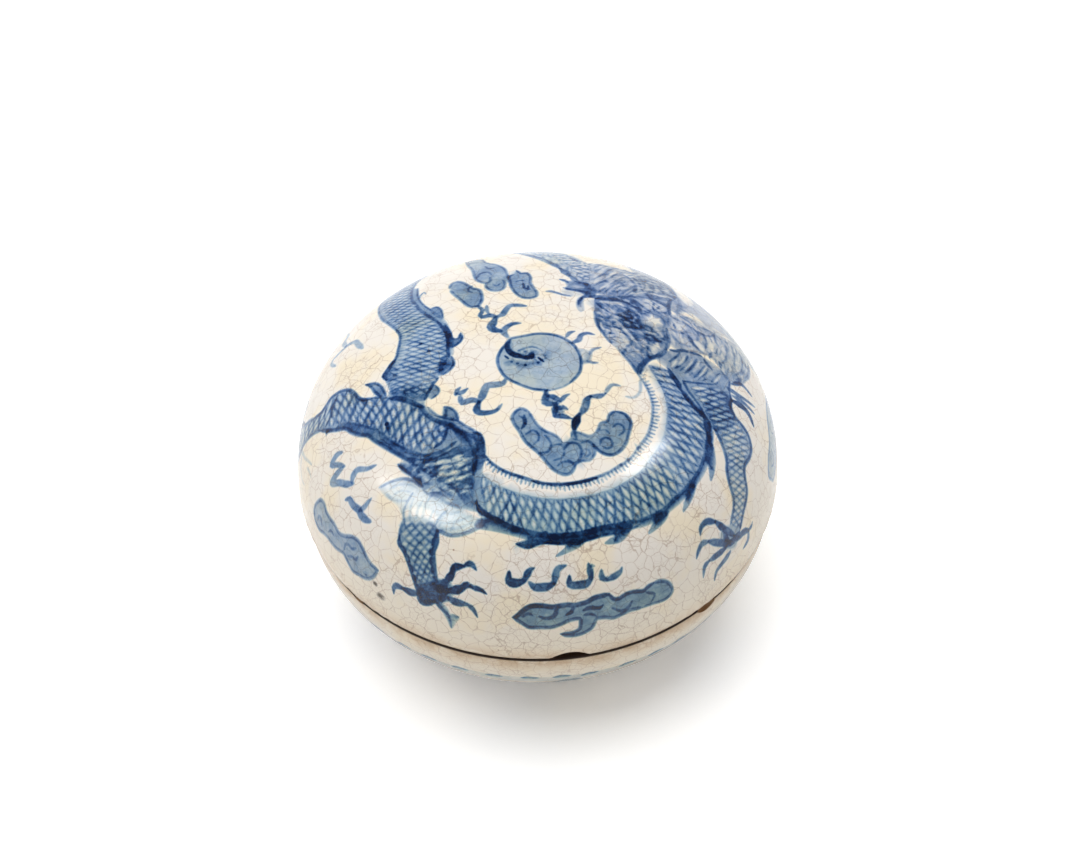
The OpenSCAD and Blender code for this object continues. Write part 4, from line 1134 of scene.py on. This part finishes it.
baseBand = dict(around=246.3, repeats=6, dashes=44, dashDeep=5.7, cloudDeep=12.4, cloudSize=0.74,
                flameDeep=12.8, footLines=(23.4, 24.5))


# below the seam a row of short dashes, then clouds with flames between them, and two foot lines
def baseMarks(v):
    marks = []
    cell = v["around"] / v["repeats"]
    x = np.linspace(-v["around"] / 2, v["around"] / 2, 60)
    marks.append(("line", np.stack([x, 0 * x - v["dashDeep"] - 1.2], -1), [2.6], 0.16))
    for k in range(v["dashes"]):
        x = (k + 0.5 + 0.12 * shake(k)) * v["around"] / v["dashes"] - v["around"] / 2
        marks += readMarks(waveDash, (x, -v["dashDeep"] - 0.4 * shake(k + 0.3)), 6 * shake(k + 0.7))
    for k in range(v["repeats"]):
        x = (k + 0.5) * cell - v["around"] / 2
        size = v["cloudSize"]
        marks += readMarks(bottomCloud, (x - 16 * size, -v["cloudDeep"] + 44 * size), size=size)
        marks += readMarks(tripleFlame, (x + 13.5, -v["flameDeep"] + 1.5 * shake(k)), 8 * shake(k + 0.6))
        marks += readMarks(fourCurls, (x - 2, -18.6 + 38.4 * 0.7), size=0.7)
    wide = v["around"] / 2 - 0.35
    for deep in v["footLines"]:
        x = np.linspace(-wide, wide, 90)
        marks.append(("line", np.stack([x, -deep + 0.08 * np.sin(x * 0.31)], -1), [0.6], 0.62))
    return marks


# the skins, whose vertices lie along the edges of every brush mark
skin = dict(ringSteps=256, gridStep=1.15, closest=0.075, gridClosest=0.55, thinBy=0.03)
touching = 1e-6  # vertices this close together are one, in metres
onProfile = 0.03  # how far a skin's vertex may lie from its profile, in millimetres
slack = 0.01  # in millimetres, to stay clear of an edge


# points along both sides of each mark's blurred border, and a loose grid in between
def skinPoints(marks, gridStep, limits):
    rails = []
    for mark in marks:
        path, half = markShape(mark)
        soft = blur[mark[0]]
        if half is None:
            ahead = np.roll(path, -1, axis=0) - np.roll(path, 1, axis=0)
            half = np.zeros(len(path))
        else:
            ahead = np.gradient(path, axis=0)
            ends = ahead[[0, -1]] / np.hypot(*ahead[[0, -1]].T)[:, None] * [[-1], [1]]
            rails.append(path[[0, -1]] + ends * (half[[0, -1]] + soft)[:, None])
        across = np.stack([-ahead[:, 1], ahead[:, 0]], -1)
        across /= np.maximum(np.hypot(*across.T), 1e-9)[:, None]
        thin = half < soft + skin["thinBy"]
        for offset in (-soft, soft):
            for side in ((1, -1) if mark[0] in ("line", "lift") else (1,)):
                reach = side * np.where(thin & (offset < 0), 0, half + offset)
                rails.append(path + across * reach[:, None])
    points = np.vstack(rails)
    (x0, y0), (x1, y1) = limits
    grid = []
    for k, y in enumerate(np.arange(y0, y1 + gridStep, gridStep * 0.866)):
        x = np.arange(x0 + (k % 2) * gridStep / 2, x1 + gridStep, gridStep)
        grid.append(np.stack([x, np.full(len(x), y)], -1))
    return points, np.vstack(grid)


# keeps the first of any points that are closer together than the limit
def thinOut(groups, closest):
    kept = {}
    out = []
    for points, gap in groups:
        for x, y in points:
            i, j = int(math.floor(x / closest)), int(math.floor(y / closest))
            reach = int(math.ceil(gap / closest))
            if any((kept[(a, b)][0] - x) ** 2 + (kept[(a, b)][1] - y) ** 2 < gap * gap
                   for a in range(i - reach, i + reach + 1) for b in range(j - reach, j + reach + 1)
                   if (a, b) in kept):
                continue
            kept[(i, j)] = (x, y)
            out.append((x, y))
    return np.array(out)


def triangulate(points):
    found = delaunay_2d_cdt([Vector(p) for p in points], [], [], 0, 1e-7, False)
    flat = np.array([tuple(v) for v in found[0]])
    faces = np.array(found[2])
    a, b, c = (flat[faces[:, k]] for k in range(3))
    area = (b[:, 0] - a[:, 0]) * (c[:, 1] - a[:, 1]) - (b[:, 1] - a[:, 1]) * (c[:, 0] - a[:, 0])
    faces[area < 0] = faces[area < 0][:, ::-1]
    return flat, faces[np.abs(area) > 1e-9]


def superellipse(reach, rise, squareness, steps):
    a = np.linspace(math.pi / 2, 0, steps)
    power = 2 / squareness
    return np.stack([reach * np.cos(a).clip(0) ** power, rise * np.sin(a) ** power], -1)


class Profile:
    def __init__(self, points):  # radius and height in millimetres, from the axis outwards
        self.points = np.asarray(points)
        self.length = pathLength(self.points)

    def place(self, along, angle):
        r = np.interp(along, self.length, self.points[:, 0])
        z = np.interp(along, self.length, self.points[:, 1])
        return np.stack([r * np.cos(angle), r * np.sin(angle), z], -1) * mm


def quarterRound(x, y, r, start, end):
    turn = np.radians(np.linspace(start, end, 5))
    return np.stack([x + r * np.cos(turn), y + r * np.sin(turn)], -1)


coverForm = dict(squareness=2.55, hollowSquareness=2.45, seamInset=0.8, equatorHeight=2.1, rimRound=0.45,
                 rimWall=2.8, crownWall=3.2, stepCount=1500)


def coverProfiles(v):
    bodyR, seamZ, topZ = coverHigh[0] / mm, coverLow[2] / mm, coverHigh[2] / mm
    seamR, equatorZ = bodyR - v["seamInset"], seamZ + v["equatorHeight"]
    dome = superellipse(bodyR, topZ - equatorZ, v["squareness"], v["stepCount"]) + [0, equatorZ]
    u = np.linspace(1, 0, 40)[1:]
    below = np.stack([bodyR - v["seamInset"] * (1 - u) ** 2,
                      seamZ + v["rimRound"] + (v["equatorHeight"] - v["rimRound"]) * u], -1)
    socketR = seamR - v["rimWall"]
    rr = v["rimRound"]
    hollow = superellipse(socketR, topZ - v["crownWall"] - equatorZ, v["hollowSquareness"], 40)[::-1]
    inside = np.vstack([quarterRound(seamR - rr, seamZ + rr, rr, 0, -90),
                        quarterRound(socketR + rr, seamZ + rr, rr, 270, 180), hollow + [0, equatorZ]])
    return Profile(np.vstack([dome, below])), inside


def selectOnly(*pieces):
    for o in bpy.context.selected_objects:
        o.select_set(False)
    for piece in pieces:
        piece.select_set(True)
    bpy.context.view_layer.objects.active = pieces[0]


# an open profile turned about the axis; its ends are left for the skin, or close on the axis
def spunShell(name, profile, steps):
    mesh = bpy.data.meshes.new(name)
    edges = [(k, k + 1) for k in range(len(profile) - 1)]
    mesh.from_pydata([(r * mm, 0, z * mm) for r, z in profile], edges, [])
    piece = bpy.data.objects.new(name, mesh)
    bpy.context.collection.objects.link(piece)
    selectOnly(piece)
    bpy.ops.object.mode_set(mode="EDIT")
    bpy.ops.mesh.select_all(action="SELECT")
    bpy.ops.mesh.spin(steps=steps, angle=2 * math.pi, center=(0, 0, 0), axis=(0, 0, 1))
    bpy.ops.mesh.select_all(action="SELECT")
    bpy.ops.mesh.remove_doubles(threshold=touching)
    bpy.ops.object.mode_set(mode="OBJECT")
    return piece


def joinPieces(pieces, name):
    selectOnly(*pieces)
    bpy.ops.object.join()
    joined = bpy.context.object
    joined.name = joined.data.name = name
    bpy.ops.object.mode_set(mode="EDIT")
    bpy.ops.mesh.select_all(action="SELECT")
    bpy.ops.mesh.remove_doubles(threshold=touching)
    bpy.ops.mesh.normals_make_consistent(inside=False)
    bpy.ops.object.mode_set(mode="OBJECT")
    return joined


def meshPiece(name, points, faces):
    mesh = bpy.data.meshes.new(name)
    mesh.vertices.add(len(points))
    mesh.vertices.foreach_set("co", np.asarray(points, np.float32).ravel())
    mesh.loops.add(len(faces) * 3)
    mesh.loops.foreach_set("vertex_index", np.asarray(faces, np.int32).ravel())
    mesh.polygons.add(len(faces))
    mesh.polygons.foreach_set("loop_start", np.arange(len(faces), dtype=np.int32) * 3)
    mesh.update(calc_edges=True)
    piece = bpy.data.objects.new(name, mesh)
    bpy.context.collection.objects.link(piece)
    return piece


chips = dict(coverChip=dict(at=-83.5, wide=7, high=2.2, up=1),
             baseChip=dict(at=-46.5, wide=4.8, high=1.5, up=-1),
             nick=dict(at=-139.5, wide=3.6, high=0.8, up=-1))
chipEdge = math.radians(60)  # between a chip's depth and the edge that it leaves
chipWithin = 0.004 * mm


def chipBall(v, seamR, seamZ):
    archR = ((v["wide"] / 2) ** 2 + v["high"] ** 2) / (2 * v["high"])
    ballR = archR / math.sin(chipEdge)
    out, turn = seamR + ballR * math.cos(chipEdge), math.radians(v["at"])
    centreZ = seamZ + v["up"] * (v["high"] - archR)
    return (out * math.cos(turn) * mm, out * math.sin(turn) * mm, centreZ * mm), ballR * mm


def cutChip(piece, centre, radius):
    selectOnly(piece)
    bpy.ops.mesh.primitive_uv_sphere_add(segments=64, ring_count=40, radius=radius, location=centre)
    ball = bpy.context.object
    bpy.ops.object.transform_apply(location=True, rotation=True, scale=True)
    selectOnly(piece)
    cut = piece.modifiers.new("chip", "BOOLEAN")
    cut.operation, cut.solver, cut.object = "DIFFERENCE", "EXACT", ball
    bpy.ops.object.modifier_apply(modifier="chip")
    bpy.data.objects.remove(ball)


def readEach(items, name, kind, width=1):
    values = np.empty(len(items) * width, kind)
    items.foreach_get(name, values)
    return values


# smooth normals, the painting and the bare clay, worked out from where each vertex lies
def dressSkin(piece, toFlat, marks, bareAt, balls):
    mesh = piece.data
    co = readEach(mesh.vertices, "co", float, 3).reshape(-1, 3)
    flat, onSkin = toFlat(co)
    tone = np.zeros(len(co))
    tone[onSkin] = paintedTone(flat[onSkin], marks)
    bare = bareAt(co, onSkin)
    chipped = np.zeros(len(co), bool)
    for centre, radius in balls:
        chipped |= np.abs(np.linalg.norm(co - centre, axis=1) - radius) < chipWithin
    cobalt = mesh.attributes.new("cobalt", "FLOAT", "POINT")
    cobalt.data.foreach_set("value", tone.astype(np.float32))
    loopVert = readEach(mesh.loops, "vertex_index", np.int32)
    starts = readEach(mesh.polygons, "loop_start", np.int32)
    faceOf = np.repeat(np.arange(len(starts)), readEach(mesh.polygons, "loop_total", np.int32))
    allChipped = np.minimum.reduceat(chipped[loopVert].astype(int), starts).astype(bool)
    cornerBare = np.where(allChipped[faceOf], 1.0, bare[loopVert])
    bareClay = mesh.attributes.new("bare", "FLOAT", "CORNER")
    bareClay.data.foreach_set("value", cornerBare.astype(np.float32))
    selectOnly(piece)
    bpy.ops.object.shade_smooth_by_angle(angle=math.radians(38))
    mesh.materials.clear()
    mesh.materials.append(glazeOnClay)


def paintedCover():
    outside, inside = coverProfiles(coverForm)
    reach = outside.length[-1]
    marks = coverMarks()
    rails, grid = skinPoints(marks, skin["gridStep"], ((-reach, -reach), (reach, reach)))
    turn = 2 * math.pi * np.arange(skin["ringSteps"]) / skin["ringSteps"]
    ring = np.stack([np.cos(turn), np.sin(turn)], -1)
    inner = [p[np.hypot(*p.T) < reach - gap] for p, gap in ((rails, 0.3), (grid, 0.7))]
    points = thinOut([(ring * reach, 0.0), (inner[0], skin["closest"]), (inner[1], skin["gridClosest"])],
                     skin["closest"])
    print("cover skin points", len(points))
    flat, faces = triangulate(points)
    rho = np.hypot(*flat.T)
    top = meshPiece("coverTop", outside.place(rho, np.arctan2(flat[:, 1], flat[:, 0])), faces)
    shell = spunShell("coverInside", inside, skin["ringSteps"])
    cover = joinPieces([top, shell], "cover_glazed")
    balls = [chipBall(chips["coverChip"], outside.points[-1][0], coverLow[2] / mm)]
    cutChip(cover, *balls[0])

    def toFlat(co):
        r, z = np.hypot(co[:, 0], co[:, 1]) / mm, co[:, 2] / mm
        # the nearest place on the profile: by height on the steep side, by radius on the crown
        byZ = np.interp(-z, -outside.points[:, 1], outside.length)
        dome = slice(coverForm["stepCount"])
        byR = np.interp(r, outside.points[dome, 0], outside.length[dome])
        along = np.where(r < 0.75 * coverHigh[0] / mm, byR, byZ)
        pr = np.interp(along, outside.length, outside.points[:, 0])
        pz = np.interp(along, outside.length, outside.points[:, 1])
        onSkin = (np.hypot(pr - r, pz - z) < onProfile) & (z >= outside.points[-1, 1] - slack)
        a = np.arctan2(co[:, 1], co[:, 0])
        return np.stack([along * np.cos(a), along * np.sin(a)], -1), onSkin

    def bareAt(co, onSkin):
        low = coverLow[2] / mm + coverForm["rimRound"]
        return ((co[:, 2] / mm < low - slack) & ~onSkin).astype(float)

    dressSkin(cover, toFlat, marks, bareAt, balls)
    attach(cover, "cover")
    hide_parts("cover")
    print("cover built", len(cover.data.polygons))


paintedCover()


baseForm = dict(seamR=39.2, rimRound=0.45, footRootR=22.6, footHigh=1.9, footR=22.0, footInnerR=19.2,
                footLean=0.6, bevel=0.4, recessHigh=2.6, flangeR=36.0, bowlR=34.0, flangeTop=26.6,
                seamHigh=22.4, flangeRound=0.6, floorZ=6.0, flatR=14.0, bowlSquareness=2.4)
baseSeamZ = baseHigh[2] / mm - (baseForm["flangeTop"] - baseForm["seamHigh"])


def bowlSide(v, seamZ, gap=0.0, steps=40):  # from the lip down to the flat of the floor
    side = superellipse(v["bowlR"] - v["flatR"], seamZ - v["floorZ"], v["bowlSquareness"], steps)[::-1]
    return np.stack([side[:, 0] + v["flatR"] - gap, seamZ - side[:, 1]], -1)


def baseProfiles(v):
    seamZ = baseSeamZ
    depth = (seamZ - v["footHigh"]) / math.sqrt(1 - (v["footRootR"] / v["seamR"]) ** 2)
    a = np.linspace(math.asin(v["rimRound"] / depth), math.asin((seamZ - v["footHigh"]) / depth), 400)
    outside = np.stack([v["seamR"] * np.cos(a), seamZ - depth * np.sin(a)], -1)
    outside[0] = v["seamR"], seamZ - v["rimRound"]
    rr, fr = v["rimRound"], v["flangeRound"]
    upper = np.vstack([quarterRound(v["seamR"] - rr, seamZ - rr, rr, 0, 90), [[v["flangeR"], seamZ]],
                       quarterRound(v["flangeR"] - fr, v["flangeTop"] - fr, fr, 0, 90),
                       quarterRound(v["bowlR"] + fr, v["flangeTop"] - fr, fr, 90, 180),
                       bowlSide(v, seamZ), [[v["flatR"] / 2, v["floorZ"]], [0, v["floorZ"]]]])
    bevel, footR, innerR, recess = v["bevel"], v["footR"], v["footInnerR"], v["recessHigh"]
    lean = v["footLean"] * bevel / v["footHigh"]
    lower = np.array([[v["footRootR"], v["footHigh"]], [footR + lean, bevel],
                      [footR - bevel / 2, bevel * 0.25], [footR - bevel, 0],
                      [innerR + bevel, 0], [innerR + bevel / 2, bevel * 0.25], [innerR - lean, bevel],
                      [innerR - v["footLean"], recess - bevel],
                      [innerR - v["footLean"] - bevel, recess], [9, recess], [0, recess]])
    return Profile(outside), upper, lower


def paintedBase():
    v = baseForm
    outside, upper, lower = baseProfiles(v)
    half, reach = math.pi * v["seamR"], outside.length[-1]
    marks = baseMarks(baseBand)
    rails, grid = skinPoints(marks, skin["gridStep"], ((-half, -reach), (half, 0)))
    x = np.linspace(-half, half, skin["ringSteps"] + 1)
    y = np.linspace(-reach, 0, 25)[1:-1]
    edge = np.vstack([np.stack([x, x * 0], -1), np.stack([x, x * 0 - reach], -1),
                      np.stack([y * 0 - half, y], -1), np.stack([y * 0 + half, y], -1)])
    within = [p[np.all(np.abs(p - [0, -reach / 2]) < np.array([half, reach / 2]) - gap, axis=1)]
              for p, gap in ((rails, 0.25), (grid, 0.6))]
    points = thinOut([(edge, 0.0), (within[0], skin["closest"]), (within[1], skin["gridClosest"])],
                     skin["closest"])
    flat, faces = triangulate(points)
    wall = meshPiece("baseWall", outside.place(-flat[:, 1], flat[:, 0] / v["seamR"]), faces)
    base = joinPieces([wall, spunShell("baseBowl", upper, skin["ringSteps"]),
                       spunShell("baseFoot", lower, skin["ringSteps"])], "base_glazed")
    balls = [chipBall(chips[name], v["seamR"], baseSeamZ) for name in ("baseChip", "nick")]
    for ball in balls:
        cutChip(base, *ball)

    def toFlat(co):
        r, z = np.hypot(co[:, 0], co[:, 1]) / mm, co[:, 2] / mm
        along = np.interp(-z, -outside.points[:, 1], outside.length)
        away = np.abs(np.interp(along, outside.length, outside.points[:, 0]) - r)
        between = (z <= baseSeamZ - v["rimRound"] + slack) & (z >= v["footHigh"] - slack)
        flat = np.stack([np.arctan2(co[:, 1], co[:, 0]) * v["seamR"], -along], -1)
        return flat, (away < onProfile) & between

    def bareAt(co, onSkin):
        r, z = np.hypot(co[:, 0], co[:, 1]) / mm, co[:, 2] / mm
        rim = (z > baseSeamZ - v["rimRound"] + slack) & (r > v["bowlR"] + v["flangeRound"] * 0.4)
        return (rim | (z < v["bevel"] + slack)).astype(float)

    dressSkin(base, toFlat, marks, bareAt, balls)
    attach(base, "base")
    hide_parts("base")
    print("base built", len(base.data.polygons))


paintedBase()


pasteForm = dict(gap=0.3, edgeZ=14.4, topZ=19.8, rings=90, around=160, lumps=1.1, lumpSize=6,
                 swirlDeep=0.75, swirlTurns=3.2, deepest=2.2)


# the heaped paste, with the furrow that the spatula leaves as it is folded up to a peak
def pasteMound(v):
    bowl = bowlSide(baseForm, baseSeamZ, v["gap"])
    side = bowl[bowl[:, 1] < v["edgeZ"] - 0.2]
    edgeR = float(np.interp(v["edgeZ"], *bowl[::-1, ::-1].T))
    crown = superellipse(edgeR, v["topZ"] - v["edgeZ"], 2, v["rings"]) + [0, v["edgeZ"]]
    profile = np.vstack([crown, side, [[0, baseForm["floorZ"]]]])
    mound = spunShell("paste_mound", profile, v["around"])
    mesh = mound.data
    for vertex in mesh.vertices:
        x, y, z = (c / mm for c in vertex.co)
        r, a = math.hypot(x, y), math.atan2(y, x)
        high = smoothStep((z - v["edgeZ"] + 2.2) / 2.4)
        if high <= 0:
            continue
        wave = math.sin(a + r * 2 * math.pi * v["swirlTurns"] / edgeR)
        lump = noise.fractal(Vector((x, y, z)) / v["lumpSize"], 0.9, 2.0, 4) * v["lumps"]
        furrow = v["swirlDeep"] * (0.5 + 0.5 * wave) ** 2 * smoothStep(r / 4)
        sink = furrow + max(0.0, 0.5 + lump) * 0.7
        vertex.co.z -= float(high) * min(sink, v["deepest"]) * mm
        draw = 1 - float(high) * 0.35 * max(0.0, 0.4 + lump) / max(r, 8)
        vertex.co.x *= draw
        vertex.co.y *= draw
    joinPieces([mound], "paste_mound")
    for polygon in mesh.polygons:
        polygon.use_smooth = True
    mesh.materials.append(cinnabar)
    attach(mound, "base")
    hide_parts("seal_paste")
    print("paste heaped", len(mesh.polygons))


pasteMound(pasteForm)


studio = dict(floorTone=0.93, floorSeen=1.4, floorGlow=0.08, floorMirrored=1.15, world=0.42, ceiling=0.12,
              key=dict(spot=(-0.12, 0.23, 1.0), size=(2.0, 1.3), turn=0, power=12.2, mirrored=False),
              window=dict(spot=(-0.50, -0.15, 0.64), size=(0.62, 0.22), turn=32, power=3.4, mirrored=True),
              second=dict(spot=(0.39, 0.14, 0.72), size=(0.09, 0.27), turn=35, power=0.95, mirrored=True))


def softBox(name, v):
    spot = Vector(v["spot"])
    bpy.ops.object.light_add(type="AREA", location=spot)
    lamp = bpy.context.object
    lamp.name = name
    aimed = (Vector((0, 0, 0.03)) - spot).to_track_quat("-Z", "Y").to_matrix()
    turned = Euler((0, 0, math.radians(v["turn"]))).to_matrix()
    lamp.rotation_euler = (aimed @ turned).to_euler()
    lamp.data.shape = "ELLIPSE"
    lamp.data.size, lamp.data.size_y = v["size"]
    lamp.data.energy = v["power"]
    lamp.visible_glossy = v["mirrored"]  # the windows are seen in the glaze and leave the shading to the key
    lamp.visible_diffuse = not v["mirrored"]


def studioAround(v):
    for name in ("key", "window", "second"):
        softBox(name, v[name])
    bpy.ops.mesh.primitive_plane_add(size=6, location=(0, 0, baseLow[2]))
    floor = bpy.context.object
    floor.name = "floor"
    s = Shader("paper")
    diffuse = s.add("BsdfDiffuse", {}, {"Color": (v["floorTone"],) * 3})
    bright = s.add("BsdfDiffuse", {}, {"Color": (v["floorSeen"],) * 3})
    glow = s.add("Emission", {}, {"Color": (1.0, 1.0, 1.0), "Strength": v["floorGlow"]})
    seen = s.add("AddShader", {}, {0: bright, 1: glow})
    mirrored = s.add("BsdfDiffuse", {}, {"Color": (v["floorMirrored"],) * 3})
    isGlossy, isCamera = (s.add("LightPath", out=name) for name in ("Is Glossy Ray", "Is Camera Ray"))
    other = s.add("MixShader", {}, {0: isGlossy, 1: diffuse, 2: mirrored})
    floor.data.materials.append(s.finish(s.add("MixShader", {}, {0: isCamera, 1: other, 2: seen})))
    world = bpy.data.worlds.new("studio")
    bpy.context.scene.world = world
    world.use_nodes = True
    tree = world.node_tree
    tree.nodes.clear()

    def add(kind, **values):
        n = tree.nodes.new("ShaderNode" + kind)
        for name, value in values.items():
            if isinstance(value, bpy.types.NodeSocket):
                tree.links.new(value, n.inputs[name.replace("_", " ")])
            else:
                n.inputs[name.replace("_", " ")].default_value = value
        return n.outputs

    # the backdrop is white; the glaze mirrors it too, below a dim ceiling
    ray = add("LightPath")
    upward = add("SeparateXYZ", Vector=add("TexCoord")["Generated"])["Z"]
    mirrored = add("MapRange", Value=upward, From_Min=0.1, From_Max=0.7, To_Min=1.0, To_Max=v["ceiling"])[0]
    lit = add("MapRange", Value=ray["Is Glossy Ray"], To_Min=v["world"], To_Max=mirrored)[0]
    strength = add("MapRange", Value=ray["Is Camera Ray"], To_Min=lit, To_Max=1.0)[0]
    background = add("Background", Strength=strength)
    tree.links.new(background[0], tree.nodes.new("ShaderNodeOutputWorld").inputs["Surface"])
    bpy.context.scene.view_settings.view_transform = "Standard"


studioAround(studio)
print("studio lit")
